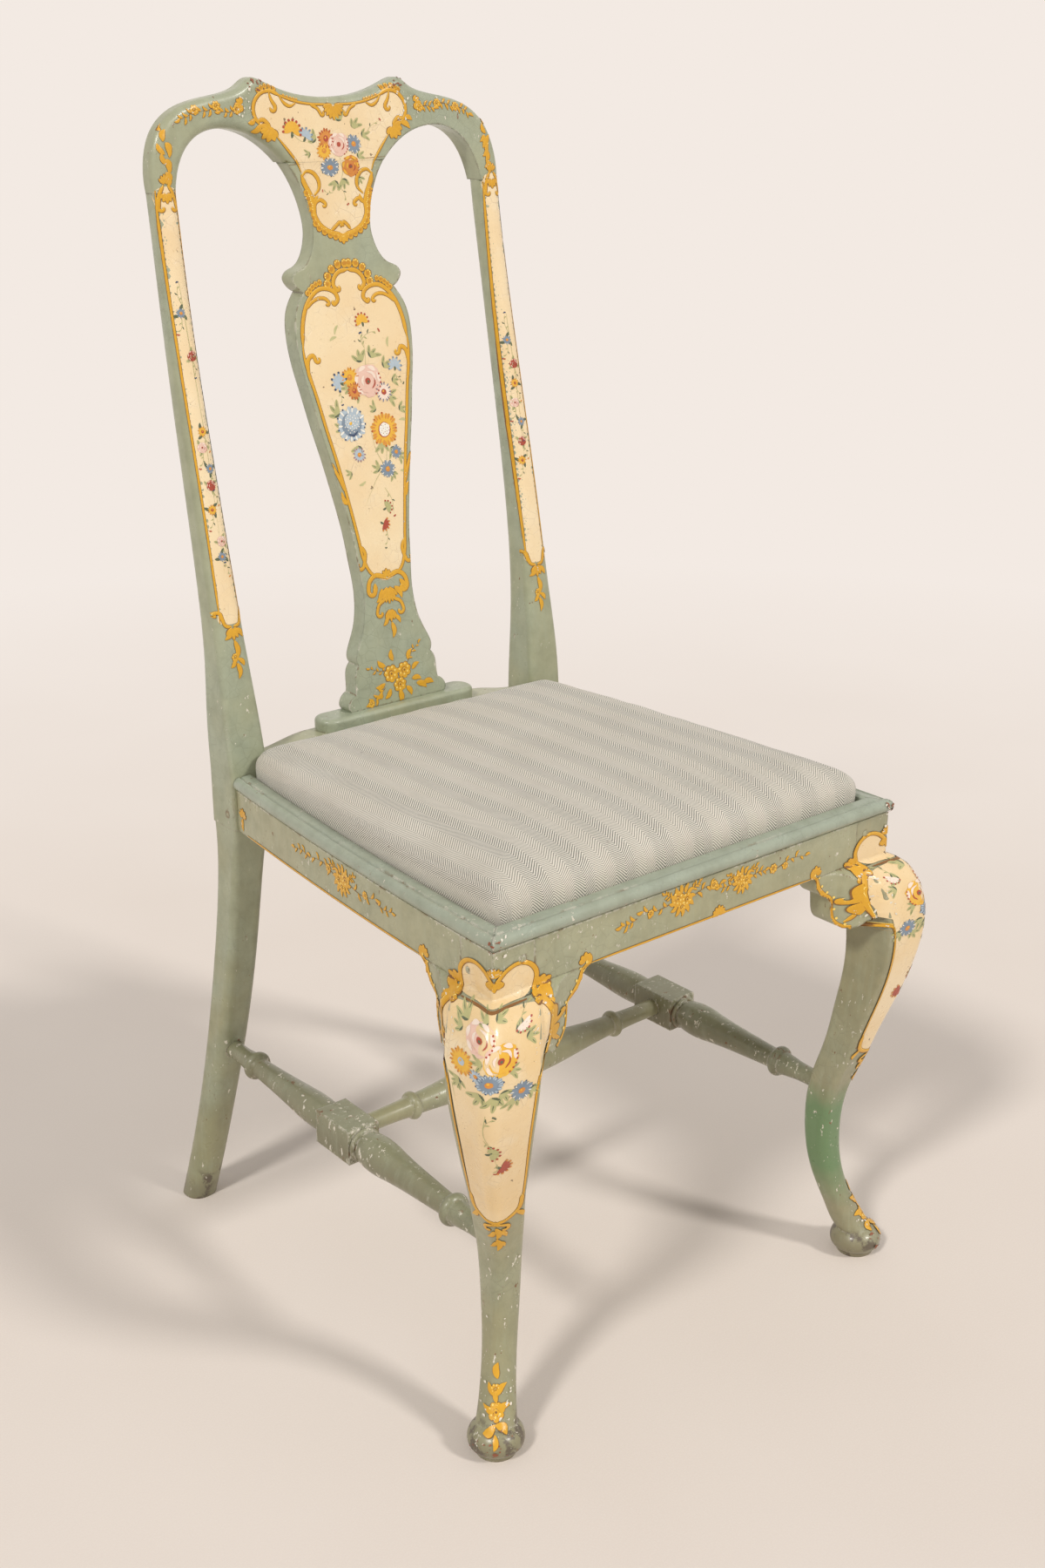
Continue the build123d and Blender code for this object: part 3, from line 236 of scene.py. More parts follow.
def wood_material(name, light, dark):
    """Bare wood with its grain along Y."""
    m = Material(name, dark)
    grain = m.noise(m.place((1, 0.08, 1)), 190.0, 5.0, 0.6)
    m.tint(grain, 0.32, 0.68, 1.0, light)
    m.tint(m.noise(m.place(), 14.0), 0.45, 0.7, 0.35, (84, 62, 42))
    eased = m.node("ShaderNodeBevel", {"Radius": 0.0015}, samples=4).outputs[0]
    return m.finish(0.72, (grain, 0.35, 0.0006, eased))


def steel_material(name):
    m = Material(name, (62, 64, 70))
    rust = m.noise(m.place(), 420.0)
    m.tint(rust, 0.5, 0.68, 1.0, (104, 66, 44))
    return m.finish(m.ramp(rust, 0.4, 0.7, 0.30, 0.62), Metallic=0.85)


def weave_material(name, warp, weft, pitch):
    """Plain weave of coarse yarn, in the plane of the seat; pitch is the yarn spacing."""
    m = Material(name, warp)
    spot = m.place()
    parts = m.node("ShaderNodeSeparateXYZ", {0: spot})
    along, across = [m.math("SINE", m.times(parts.outputs[axis], math.pi / pitch)) for axis in (0, 1)]
    yarn = m.plus(m.math("ABSOLUTE", along), m.math("ABSOLUTE", across))
    fine = m.noise(spot, 500.0, 3.0, 0.6)
    m.tint(m.times(along, across), -0.5, 0.5, 1.0, weft)
    m.tint(fine, 0.35, 0.7, 0.4, (96, 76, 50))
    m.tint(m.noise(spot, 24.0), 0.5, 0.75, 0.3, (120, 98, 66))
    relief = m.plus(m.times(yarn, 0.5), m.times(fine, 0.4))
    return m.finish(0.9, (relief, 0.7, 0.0006), Sheen_Weight=0.15)


def fabric_material():
    """Linen herringbone with stripes: broad columns of twill that turn over at each edge."""
    column, twill_pitch, stripe_pitch = 0.0105, 0.0026, 0.042
    m = Material("herringbone_linen", (234, 227, 215))
    cloth = m.node("ShaderNodeAttribute", {}, attribute_name="cloth").outputs["Vector"]
    across, along = m.node("ShaderNodeSeparateXYZ", {0: cloth}).outputs[:2]
    across = m.plus(across, m.ramp(m.noise(cloth, 9.0, 2.0), 0.3, 0.7, -0.0003, 0.0003))
    slant = m.plus(along, m.math("PINGPONG", across, column))
    twill = m.math("SINE", m.times(slant, 2 * math.pi / twill_pitch))
    # alternate pairs of columns are woven from darker yarn
    strong = m.ramp(m.math("SINE", m.times(across, 2 * math.pi / stripe_pitch)), -0.45, 0.45)
    yarn = m.noise(cloth, 900.0, 3.0, 0.7)
    m.tint(m.noise(cloth, 14.0, 4.0), 0.35, 0.7, 1.0, (225, 217, 204))
    m.tint(m.noise(m.stretch(cloth, (1, 0.06, 1)), 420.0), 0.4, 0.7, 0.35, (241, 236, 226))
    line = m.ramp(m.plus(twill, m.ramp(yarn, 0.3, 0.7, -0.6, 0.6)), -0.05, 0.45)
    dark = m.mix(strong, srgb(136, 134, 120), srgb(98, 102, 92))
    m.body = m.mix(m.times(line, m.ramp(strong, 0.0, 1.0, 0.88, 0.95)), m.body, dark)
    m.tint(yarn, 0.45, 0.75, 0.20, (236, 231, 221))
    m.tint(m.noise(cloth, 70.0, 2.0), 0.74, 0.77, 0.5, (110, 90, 76))
    relief = m.plus(m.times(twill, -0.35), m.times(yarn, 0.9))
    return m.finish(0.88, (relief, 0.55, 0.0004), Sheen_Weight=0.25)


LOW = (0.12, 0.50)           # heights between which the lower parts turn from olive to green, m
MOULDING = (165, 173, 154)
for material, names in (
    (aged_paint("sage_paint", (172, 176, 146), (154, 152, 118), 0.65, 0.85),
     "crest_rail back_splat rear_leg_left rear_leg_right splat_shoe"),
    (aged_paint("olive_paint", (176, 174, 140), (158, 154, 120), 0.85, 0.95, LOW, 0.2),
     "joint_pegs cross_stretcher front_leg_left front_seat_rail left_seat_rail right_seat_rail rear_seat_rail "
     "knee_bracket_front_left knee_bracket_front_right knee_bracket_side_left knee_bracket_side_right"),
    (aged_paint("stretcher_paint", (144, 144, 114), (124, 118, 90), 1.2, 1.0, (0.165, 0.19), 0.1),
     "left_side_stretcher right_side_stretcher"),
    (aged_paint("repaired_paint", (166, 162, 128), (152, 146, 114), 0.90, 0.95, LOW, 0.15, (0.062, 0.180)),
     "front_leg_right"),
    (aged_paint("moulding_paint", MOULDING, MOULDING, 0.75, 0.62),
     "front_seat_moulding left_seat_moulding right_seat_moulding"),
    (wood_material("old_bare_wood", (166, 128, 84), (120, 86, 54)),
     "corner_block_front_left corner_block_front_right corner_block_rear_left corner_block_rear_right "
     "crest_dowels slip_front_rail slip_rear_rail slip_left_rail slip_right_rail"),
    (steel_material("blued_steel"), "webbing_tacks cover_tacks"),
    (weave_material("jute_webbing", (176, 150, 108), (140, 114, 76), 0.0022), "webbing_lengthwise webbing_crosswise"),
    (weave_material("hessian_cloth", (170, 140, 92), (138, 110, 68), 0.0018), "hessian"),
):
    for name in names.split():
        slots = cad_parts[name].data.materials
        slots.clear()
        slots.append(material)


def smooth(points, step=1.6, closed=False):
    """A smooth line through the points, as even short runs."""
    knots = [Vector(p) for p in points]
    if closed:
        knots = [knots[-1], *knots, knots[0], knots[1]]
    else:
        knots = [2 * knots[0] - knots[1], *knots, 2 * knots[-1] - knots[-2]]
    line = []
    for a, b, c, d in zip(knots, knots[1:], knots[2:], knots[3:]):
        count = max(1, round((c - b).length / step))
        for index in range(count):
            t = index / count
            line.append(0.5 * (2 * b + (c - a) * t + (2 * a - 5 * b + 4 * c - d) * t ** 2
                               + (3 * b - a - 3 * c + d) * t ** 3))
    if not closed:
        line.append(knots[-2])
    return line


# ------------------------------------------------------------------ seat cushion, in mm
HALF_FRONT = 221.0
HALF_REAR = 190.5
SEAT_DEPTH = 405.5
SIDE_BOW = 5.0
SLIP_GAP = 19.8                              # how far the slip seat lies inside the front and the sides
SLIP_BACK = 404.7                            # depth of its back edge
EDGE_RADIUS = 13.0                           # of the slip seat's corners
RING_POINTS = 260
CROWN_START = 0.479                          # above this height the cloth lies flat, m
# how far each ring of the cushion lies inside the slip seat's outline, and its height
CUSHION_STEPS = [
    (26.0, 443.3), (1.0, 443.3), (0.0, 444.0), (-0.3, 452.0), (-0.7, 459.0), (-0.5, 464.5), (0.8, 469.5),
    (3.4, 473.8), (7.0, 477.0), (12.0, 480.0), (22.0, 483.8), (40.0, 487.4), (70.0, 490.6), (100.0, 492.2),
    (140.0, 493.0), (178.0, 493.4),
]


def side_x(y, inset):
    """Half width of the seat at a depth, inside its side by an inset."""
    share = min(max(y / SEAT_DEPTH, 0.0), 1.0)
    return HALF_FRONT + (HALF_REAR - HALF_FRONT) * share + 4 * SIDE_BOW * share * (1 - share) - inset


def cushion_ring(inset):
    """Points round the slip seat, inside its outline, spread evenly along it."""
    gap, back_y = SLIP_GAP + inset, SLIP_BACK - inset
    radius = max(EDGE_RADIUS - 0.35 * inset, 2.0)
    front_x, back_x = side_x(gap, gap), side_x(back_y, gap)
    corners = [Vector(p) for p in ((front_x, gap), (back_x, back_y), (-back_x, back_y), (-front_x, gap))]
    points = []
    for index, here in enumerate(corners):
        neighbours = corners[index - 1], corners[(index + 1) % 4]
        a, b = (here + (other - here).normalized() * radius for other in neighbours)
        for share in (step / 8 for step in range(9)):
            points.append(a * (1 - share) ** 2 + here * 2 * share * (1 - share) + b * share ** 2)
        if index in (0, 2):
            # the bowed side between two corners
            for share in (step / 12 for step in range(1, 12)):
                share, sign = (share, 1) if index == 0 else (1 - share, -1)
                y = gap + radius + (back_y - gap - 2 * radius) * share
                points.append(Vector((sign * side_x(y, gap), y)))
    closed = points + [points[0]]
    lengths = [0.0]
    for a, b in zip(closed, closed[1:]):
        lengths.append(lengths[-1] + (b - a).length)
    ring, run = [], 0
    for index in range(RING_POINTS):
        wanted = lengths[-1] * index / RING_POINTS
        while lengths[run + 1] < wanted:
            run += 1
        span = lengths[run + 1] - lengths[run]
        ring.append(closed[run].lerp(closed[run + 1], (wanted - lengths[run]) / max(span, 1e-6)))
    return ring


def make_cushion():
    mesh = bmesh.new()
    rings = []
    for inset, height in smooth(CUSHION_STEPS, 3.2):
        ring = []
        for point in cushion_ring(inset):
            x, y, z = point.x, point.y + SEAT_FRONT, height
            if 3 < inset < 170:
                place_at = Vector((x, y, 0)) * 0.012
                z += 1.1 * noise.noise(place_at) + 0.35 * noise.noise(place_at * 3.1)
                # slack folds that fan from the corners
                fold = math.sin(math.atan2(y, x) * 22 + 3 * noise.noise(place_at * 2))
                z += 0.22 * fold * math.exp(-((inset - 14) / 12) ** 2)
            ring.append(mesh.verts.new((x * MM, y * MM, z * MM)))
        rings.append(ring)
    around = [(i, (i + 1) % RING_POINTS) for i in range(RING_POINTS)]
    for lower, upper in zip(rings, rings[1:]):
        for i, j in around:
            mesh.faces.new((lower[i], lower[j], upper[j], upper[i]))
    middle = [sum((v.co for v in ring), Vector()) / RING_POINTS for ring in (rings[0], rings[-1])]
    under = mesh.verts.new(middle[0])
    top = mesh.verts.new(middle[1] + Vector((0, 0, 0.0002)))
    for i, j in around:
        mesh.faces.new((rings[0][j], rings[0][i], under))
        mesh.faces.new((rings[-1][i], rings[-1][j], top))
    mesh.normal_update()
    data = bpy.data.meshes.new("seat_cushion")
    mesh.to_mesh(data)
    mesh.free()
    cushion = new_object("seat_cushion", data)
    # where each point lies on the flat cloth: over the edge it runs down with the drop
    cloth = data.attributes.new("cloth", "FLOAT_VECTOR", "POINT")
    for vertex in data.vertices:
        co, normal, drop = vertex.co, vertex.normal, max(0.0, CROWN_START - vertex.co.z)
        cloth.data[vertex.index].vector = (co.x + normal.x * drop, co.y + normal.y * drop, 0.0)
    for polygon in data.polygons:
        polygon.use_smooth = True
    data.materials.append(fabric_material())
    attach(cushion, "slip_seat")
    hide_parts("seat_cover", "seat_stuffing")


make_cushion()


# ------------------------------------------------------------------ painter's tools
dice = random.Random(11)
GROUND, SHADE, BODY, LIGHT, TOP = 0.14, 0.24, 0.36, 0.48, 0.60   # paint layers above the wood, mm
TURNS, TURN_LIFT = 14, 0.006                 # strokes of one layer lie at slightly different heights, mm
BROAD = 1.3                                  # a stroke wider than this has a middle line, mm
NEAR_EDGE = 0.003                            # wood that stands out less than this lifts the paint over itself, m
TONES = {
    "cream": cream_paint("cream_ground", (248, 226, 184), (243, 214, 166), (249, 233, 203)),
    "old_cream": cream_paint("old_cream_ground", (247, 224, 182), (238, 206, 150), (249, 236, 208)),
    "gold": plain_paint("gold_paint", (228, 172, 36), (204, 144, 28), worn=0.3, relief=0.5),
    "ochre": plain_paint("shaded_gold", (204, 142, 26), (184, 122, 22)),
    "umber": plain_paint("umber_line", (140, 94, 40), (108, 72, 34), roughness=0.5),
    "bright": plain_paint("bright_gold", (253, 222, 122), (246, 200, 76), roughness=0.32),
    "gesso": plain_paint("bared_ground", (236, 230, 216), (218, 210, 192), roughness=0.6, coat=0.0),
    "brick": plain_paint("bared_wood", (150, 92, 66), (112, 66, 46), roughness=0.6, coat=0.0),
    "pink": plain_paint("pink_petal", (240, 204, 186), (228, 178, 156), worn=0.2),
    "blush": plain_paint("pale_petal", (250, 232, 216), (242, 214, 192)),
    "rose": plain_paint("deep_rose", (186, 78, 52), (140, 50, 36)),
    "orange": plain_paint("orange_petal", (222, 148, 64), (202, 118, 52)),
    "yellow": plain_paint("yellow_petal", (242, 190, 62), (226, 160, 44)),
    "blue": plain_paint("blue_petal", (134, 150, 166), (106, 126, 146)),
    "navy": plain_paint("dark_blue", (58, 76, 108), (44, 58, 84)),
    "sky": plain_paint("pale_blue", (186, 200, 210), (164, 184, 198)),
    "white": plain_paint("white_touch", (250, 246, 234), (240, 232, 214)),
    "leaf": plain_paint("leaf_green", (192, 188, 132), (168, 168, 112)),
    "moss": plain_paint("dark_leaf", (98, 108, 80), (74, 86, 62)),
    "pale_leaf": plain_paint("faded_leaf", (206, 200, 146), (186, 184, 128)),
}
PROFILES = {
    "even": lambda t: min(1.0, 0.35 + 8 * t, 0.35 + 8 * (1 - t)),
    "leaf": lambda t: math.sin(math.pi * min(max(t, 0.015), 0.985) ** 0.85) ** 0.75,
    "petal": lambda t: math.sin(math.pi * (0.10 + 0.86 * t) ** 1.25) ** 0.7,
    "tail": lambda t: max(0.12, (1 - t) ** 0.8) * min(1.0, 0.5 + 5 * t),
    "swell": lambda t: 0.35 + 0.65 * math.sin(math.pi * t),
}


class Surface:
    """One painted face of the chair: puts a drawing in mm, across and up, on to the wood."""

    def __init__(self, names, origin, across, up, into, bridge=None, cover=0.0):
        self.bridge = bridge         # heights between which ground and paint fill a joint
        self.cover = cover           # how far round a point a sharp edge lifts the paint over itself, mm
        wood = bmesh.new()
        for name in names:
            wood.from_mesh(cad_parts[name].data)
        self.wood = BVHTree.FromBMesh(wood)
        wood.free()
        self.origin, self.across, self.up, self.into = (Vector(v) for v in (origin, across, up, into))
        self.reach = self.origin.length

    def hit(self, u, v):
        """Where the wood lies behind a point of the drawing: depth in m, and the normal."""
        start = self.origin + (self.across * u + self.up * v) * MM
        spot, normal, _, depth = self.wood.ray_cast(start, self.into)
        if spot is None:
            spot, normal, _, _ = self.wood.find_nearest(start + self.into * self.reach)
            return spot, normal, None
        self.reach = depth
        return spot, normal, depth

    def put(self, u, v, lift):
        spot, normal, depth = self.hit(u, v)
        if normal.dot(self.into) > 0:
            normal = -normal
        if depth is not None and self.cover:
            sides = [self.hit(u + du * self.cover, v + dv * self.cover)[2]
                     for du, dv in ((1, 0), (-1, 0), (0, 1), (0, -1))]
            nearest = min([depth] + [side for side in sides if side is not None and depth - side < NEAR_EDGE])
            spot = spot + self.into * (nearest - depth)
            self.reach = depth
        place_at = spot + normal * lift * MM
        if self.bridge and self.bridge[0] < v < self.bridge[1]:
            # the joint is filled level from the piece below to the one above
            low, high = self.bridge
            level = self.put(u, low, lift).lerp(self.put(u, high, lift), (v - low) / (high - low))
            if (level - place_at).dot(self.into) < 0:
                place_at = level
        return place_at


def polar(centre, angle, distance):
    return Vector(centre) + Vector((math.cos(angle), math.sin(angle))) * distance


def off(point, x, y, scale=1.0):
    return Vector(point) + Vector((x, y)) * scale


def bowed(point, angle, length, bow, share=0.5):
    """A point, a middle that stands off to the left by a part of the length, and a tip."""
    tip = polar(point, angle, length)
    return [Vector(point), polar(Vector(point).lerp(tip, share), angle + math.pi / 2, bow * length), tip]


def heading(line, index):
    """Which way a line runs at one of its points."""
    return line[min(index + 1, len(line) - 1)] - line[max(index - 1, 0)]


def volute(start, before, turn, radius, sweep=4.4, count=10):
    """Points of a spiral that goes on from a line and tightens, turning left (1) or right (-1)."""
    along = start - before
    here, angle, points = start, math.atan2(along.y, along.x), []
    for index in range(count):
        angle += turn * sweep / count
        here = polar(here, angle, radius * (1 - 0.75 * index / count) * sweep / count)
        points.append(here)
    return points


class Painting:
    """Brush strokes on one surface, as one thin mesh with a material for each pigment."""

    def __init__(self, name, surface):
        self.name, self.surface = name, surface
        self.vertices, self.faces, self.tones, self.used = [], [], [], []
        self.turn = 0

    def lift(self, layer):
        self.turn = (self.turn + 1) % TURNS
        return layer + self.turn * TURN_LIFT

    def add(self, points, faces, tone):
        if tone not in self.used:
            self.used.append(tone)
        start = len(self.vertices)
        self.vertices += points
        self.faces += [tuple(start + index for index in face) for face in faces]
        self.tones += [self.used.index(tone)] * len(faces)

    def stroke(self, points, width, tone, layer=BODY, shape="even", ridge=0.0, step=1.6):
        line = smooth(points, step)
        count, lift = len(line), self.lift(layer)
        offsets = (-1, 0, 1) if width > BROAD else (-1, 1)
        spots, columns = [], len(offsets)
        for index, here in enumerate(line):
            along = heading(line, index)
            side = Vector((-along.y, along.x)).normalized() * width / 2
            side *= PROFILES[shape](index / (count - 1))
            for offset in offsets:
                at = here + side * offset
                spots.append(self.surface.put(at.x, at.y, lift + (ridge if offset == 0 else 0.0)))
        firsts = [index * columns + column for index in range(count - 1) for column in range(columns - 1)]
        self.add(spots, [(i, i + columns, i + columns + 1, i + 1) for i in firsts], tone)

    def edging(self, points, width, dark_width, step=1.6):
        """A plain gilt line on a wider dark one."""
        self.stroke(points, dark_width, "umber", SHADE, step=step)
        self.stroke(points, width, "gold", BODY, step=step)

    def fill(self, outline, tone, spacing=3.2, crease=False, dense=(0, 0)):
        """A patch with a smooth edge; crease keeps a line of points at u = 0, dense is a band of closer rows."""
        edge = smooth(outline, 2.2, closed=True)
        low = Vector((min(p.x for p in edge), min(p.y for p in edge)))
        high = Vector((max(p.x for p in edge), max(p.y for p in edge)))
        points, number, v = list(edge), 0, low.y + spacing / 2
        while v < high.y:
            u = math.ceil(low.x / spacing) * spacing + (0.0 if crease else (number % 2) * spacing / 2)
            while u < high.x:
                if min((Vector((u, v)) - p).length for p in edge[::2]) > spacing * 0.55:
                    points.append(Vector((u, v)))
                u += spacing
            number += 1
            v += 0.9 if dense[0] < v < dense[1] else spacing
        flat, _, triangles, *_ = delaunay_2d_cdt(points, [], [list(range(len(edge)))], 1, 1e-4)
        lift = self.lift(GROUND)
        self.add([self.surface.put(p.x, p.y, lift) for p in flat], [tuple(t) for t in triangles], tone)

    def blob(self, centre, radius, tone, layer=BODY, flat=1.0, angle=0.0, ragged=0.08, count=12):
        lift, places = self.lift(layer), []
        for index in range(count):
            turn = 2 * math.pi * index / count
            reach = radius * (1 + dice.uniform(-ragged, ragged))
            x, y = reach * math.cos(turn), reach * flat * math.sin(turn)
            at = off(centre, x * math.cos(angle) - y * math.sin(angle), x * math.sin(angle) + y * math.cos(angle))
            places.append(self.surface.put(at.x, at.y, lift))
        places.append(self.surface.put(centre[0], centre[1], lift + 0.06))
        self.add(places, [(i, (i + 1) % count, count) for i in range(count)], tone)

    def chips(self, *boxes):
        """Small losses scattered in boxes, each from a low to a high corner."""
        for low, high, count, tone, size in boxes:
            for _ in range(count):
                centre = (dice.uniform(low[0], high[0]), dice.uniform(low[1], high[1]))
                self.blob(centre, size * (0.35 + 1.1 * dice.random() ** 3), tone, TOP, dice.uniform(0.35, 0.9),
                          dice.uniform(0, 3.1), 0.4, 9)

    # ---- gilding
    def scroll(self, points, width, curl=0, tail=0, shape="even", radius=None):
        """A gilt band with a dark edge and a light; curl and tail turn its end and start in spirals."""
        points = [Vector(p) for p in points]
        radius = radius or width * 1.25
        if curl:
            points += volute(points[-1], points[-2], curl, radius)
        if tail:
            points = volute(points[0], points[1], tail, radius)[::-1] + points
        self.stroke([off(p, 0.12, -0.16) for p in points], width + 0.8, "umber", SHADE, shape)
        self.stroke(points, width, "gold", BODY, shape, ridge=0.35)
        if width > 2.0:
            self.stroke([off(p, 0.17, -0.21, width) for p in points], width * 0.24, "ochre", LIGHT, shape)
        self.stroke([off(p, -0.16, 0.20, width) for p in points], max(0.5, width * 0.22), "bright", LIGHT, shape)

    def frill(self, points, size, spacing, out):
        """Scallops along the outside of a line: lobes with a shaded hollow and a bright rim."""
        line = smooth(points, spacing)
        for index, here in enumerate(line):
            along = heading(line, index)
            angle = math.atan2(along.y, along.x) + out * math.pi / 2
            tip = polar(here, angle, size * 0.35)
            self.blob(off(tip, 0.1, -0.15), size * 0.62, "umber", SHADE, 0.9, angle, 0.05, 10)
            self.blob(tip, size * 0.54, "gold", BODY, 0.9, angle, 0.05, 10)
            self.blob(polar(tip, angle, size * 0.02), size * 0.24, "ochre", LIGHT, 1.3, angle, 0.1, 8)
            for turn in (-0.8, 0.0, 0.8):
                self.blob(polar(tip, angle + turn, size * 0.40), size * 0.11, "bright", TOP, count=6)

    def gilt_leaf(self, point, angle, length, width=None):
        width = width or length * 0.45
        line = start, middle, tip = bowed(point, angle, length, 0.14, 0.55)
        self.stroke([off(p, 0.1, -0.14) for p in line], width + 0.6, "umber", SHADE, "leaf", step=1.2)
        self.stroke(line, width, "gold", BODY, "leaf", ridge=0.3, step=1.2)
        self.stroke([start.lerp(middle, 0.3), middle, middle.lerp(tip, 0.7)],
                    max(0.45, width * 0.2), "bright", LIGHT, "leaf")

    def shell(self, centre, angle, radius, lobes, spread):
        """A gilt fan of lobes with its hinge at the centre."""
        width = radius * spread / lobes * 1.15
        shares = [index / (lobes - 1) - 0.5 for index in range(lobes)]
        fan = [(angle + spread * share, radius * (1 - 0.18 * abs(share) * 2)) for share in shares]
        for turn, reach in fan:
            line = [polar(centre, turn, reach * 0.15), polar(centre, turn, reach)]
            self.stroke(line, width + 0.6, "umber", SHADE, "petal", step=1.2)
        for turn, reach in fan:
            line = [polar(centre, turn, reach * 0.15), polar(centre, turn, reach - 0.3)]
            self.stroke(line, width * 0.82, "gold", BODY, "petal", ridge=0.35, step=1.2)
            self.blob(polar(centre, turn, reach * 0.82), max(0.5, width * 0.2), "bright", LIGHT, count=6)
            hollow = [polar(centre, turn, reach * 0.2), polar(centre, turn, reach * 0.72)]
            self.stroke(hollow, width * 0.34, "ochre", LIGHT, "leaf")

    def gilt_flower(self, centre, radius):
        for index in range(7):
            self.blob(polar(centre, index * 0.9 + 0.3, radius * 0.64), radius * 0.40, "umber", SHADE, count=8)
        for index in range(7):
            at = polar(centre, index * 0.9 + 0.3, radius * 0.62)
            self.blob(at, radius * 0.36, "gold", BODY, count=8)
            self.blob(off(at, -0.1, 0.14, radius), radius * 0.14, "bright", LIGHT, count=6)
        self.blob(centre, radius * 0.46, "ochre", BODY + 0.08, count=9)
        self.blob(centre, radius * 0.38, "gold", LIGHT, count=9)
        for turns, reach, tone in (((0.4, 1.6, 2.8, 4.0), 0.34, "umber"), ((1.2, 2.2, 3.2), 0.26, "bright")):
            self.stroke([polar(centre, turn, radius * reach) for turn in turns], 0.6, tone, TOP, "swell")
        self.blob(centre, radius * 0.13, "umber", TOP, count=6)

    def gilt_sprig(self, point, angle, length, size):
        """A fading gilt twig with leaves in pairs and a bud."""
        twig = bowed(point, angle, length, 0.09)
        self.stroke(twig, 0.8, "umber", SHADE, "tail")
        for index, at in enumerate(smooth(twig, length / 5)[1:-1]):
            side = 1 if index % 2 else -1
            self.gilt_leaf(at, angle + side * 0.9, size * dice.uniform(0.9, 1.3), size * 0.42)
        self.gilt_leaf(twig[-1], angle, size * 1.2, size * 0.5)

    # ---- flowers
    def leaf(self, point, angle, length, width, tone="leaf", vein="moss"):
        line = _, middle, tip = bowed(point, angle, length, 0.1)
        self.stroke(line, width, tone, SHADE, "petal", step=1.4)
        self.stroke([middle, middle.lerp(tip, 0.8)], width * 0.22, vein, BODY, "tail", step=1.4)

    def leaves(self, point, angle, size):
        """Lobed leaf: three strokes that open from one stem, and a dark one."""
        for turn in (-0.75, 0.0, 0.75):
            self.leaf(point, angle + turn, size * dice.uniform(0.85, 1.1), size * 0.34)
        self.leaf(point, angle + 1.1, size * 0.55, size * 0.18, "moss")

    def stem(self, points, width=0.6, tone="leaf"):
        self.stroke(points, width, tone, SHADE, "tail")

    def daisy(self, centre, radius, petal, tip="white", heart="orange", count=11, flat=1.0):
        count = round(count * 1.4)
        self.blob(centre, radius * 0.72, petal, SHADE, flat, 0.0, 0.05, 14)
        for index in range(count):
            turn = 2 * math.pi * index / count + dice.uniform(-0.08, 0.08)
            outer = polar((0, 0), turn, radius * dice.uniform(0.92, 1.06))
            outer.y *= flat
            self.stroke([centre, off(centre, *outer)], radius * 0.36, petal, BODY, "petal", step=1.5)
            if index % 2 == 0 or tip != "white":
                end = [off(centre, *outer, 0.66), off(centre, *outer)]
                self.stroke(end, radius * 0.12, tip, LIGHT, "petal", step=1.0)
            if index % 3 == 0:
                fleck = "navy" if petal in ("blue", "sky") else "rose"
                self.blob(off(centre, *outer, 0.95), radius * 0.06, fleck, TOP, count=5)
        self.blob(centre, radius * 0.30, heart, LIGHT, flat)
        self.blob(off(centre, -0.06, 0.08, radius), radius * 0.11, "yellow", TOP, count=6)

    def arc(self, centre, start, step, reach, width, tone, layer, run=1.2):
        """A short curved petal round a centre."""
        line = [polar(centre, start + turn * step, reach) for turn in (-1, 0, 1)]
        self.stroke(line, width, tone, layer, "leaf", step=run)

    def rose(self, centre, radius, outer="pink", inner="blush", heart="rose"):
        self.blob(centre, radius, outer, BODY, 0.94, 0.3, 0.09, 16)
        for index in range(7):
            tone = inner if index < 5 else outer
            self.arc(centre, index * 0.9 + 0.2, 0.36, radius * 0.84, radius * 0.26, tone, LIGHT, 1.3)
        for index, share in enumerate((0.58, 0.42)):
            self.arc(centre, 0.8 + 2.2 * index, 0.8, radius * share, radius * 0.17, inner, TOP)
            tone = heart if index else outer
            self.arc(centre, 3.9 + 2.0 * index, 0.7, radius * (share + 0.10), radius * 0.10, tone, TOP)
        for index in range(6):
            self.blob(polar(centre, -1.0 + index * 0.28, radius * 0.93), radius * 0.07, heart, TOP, count=5)
        self.blob(centre, radius * 0.2, heart, TOP, count=8)
        self.blob(off(centre, 0.02, -0.03, radius), radius * 0.09, "moss", TOP + 0.06, count=6)

    def half_flower(self, centre, angle, radius, petal, tip, spread, count):
        for index in range(count):
            turn = angle + spread * (index / (count - 1) - 0.5)
            self.stroke([centre, polar(centre, turn, radius)], radius * 0.34, petal, BODY, "petal", step=1.2)
            self.blob(polar(centre, turn, radius * 0.9), radius * 0.13, tip, LIGHT, count=6)
        self.leaf(centre, angle + math.pi, radius * 0.6, radius * 0.3, "moss")

    def sprig(self, point, angle, length, bud, size=3.2):
        line = bowed(point, angle, length, 0.12)
        self.stem(line)
        for index, at in enumerate(smooth(line, length / 4)[1:-1]):
            turn, tone = (0.8, "moss") if index % 2 else (-0.8, "leaf")
            self.leaf(at, angle + turn, size, size * 0.38, tone)
        for turn in (-0.5, 0.1, 0.7):
            self.blob(polar(line[-1], angle + turn, size * 0.45), size * 0.22, bud, BODY, count=6)

    def seeds(self, centre, count, pitch, start, radius, tones, sides):
        """Dots that wind out from a flower's heart."""
        for index in range(count):
            at = polar(centre, index * 2.4, pitch * math.sqrt(index + start))
            self.blob(at, radius, tones[index % len(tones)], TOP + 0.08, count=sides)

    def finish(self):
        data = bpy.data.meshes.new(self.name)
        data.from_pydata([tuple(v) for v in self.vertices], [], self.faces)
        for tone in self.used:
            data.materials.append(TONES[tone])
        data.polygons.foreach_set("material_index", self.tones)
        data.polygons.foreach_set("use_smooth", [True] * len(data.polygons))
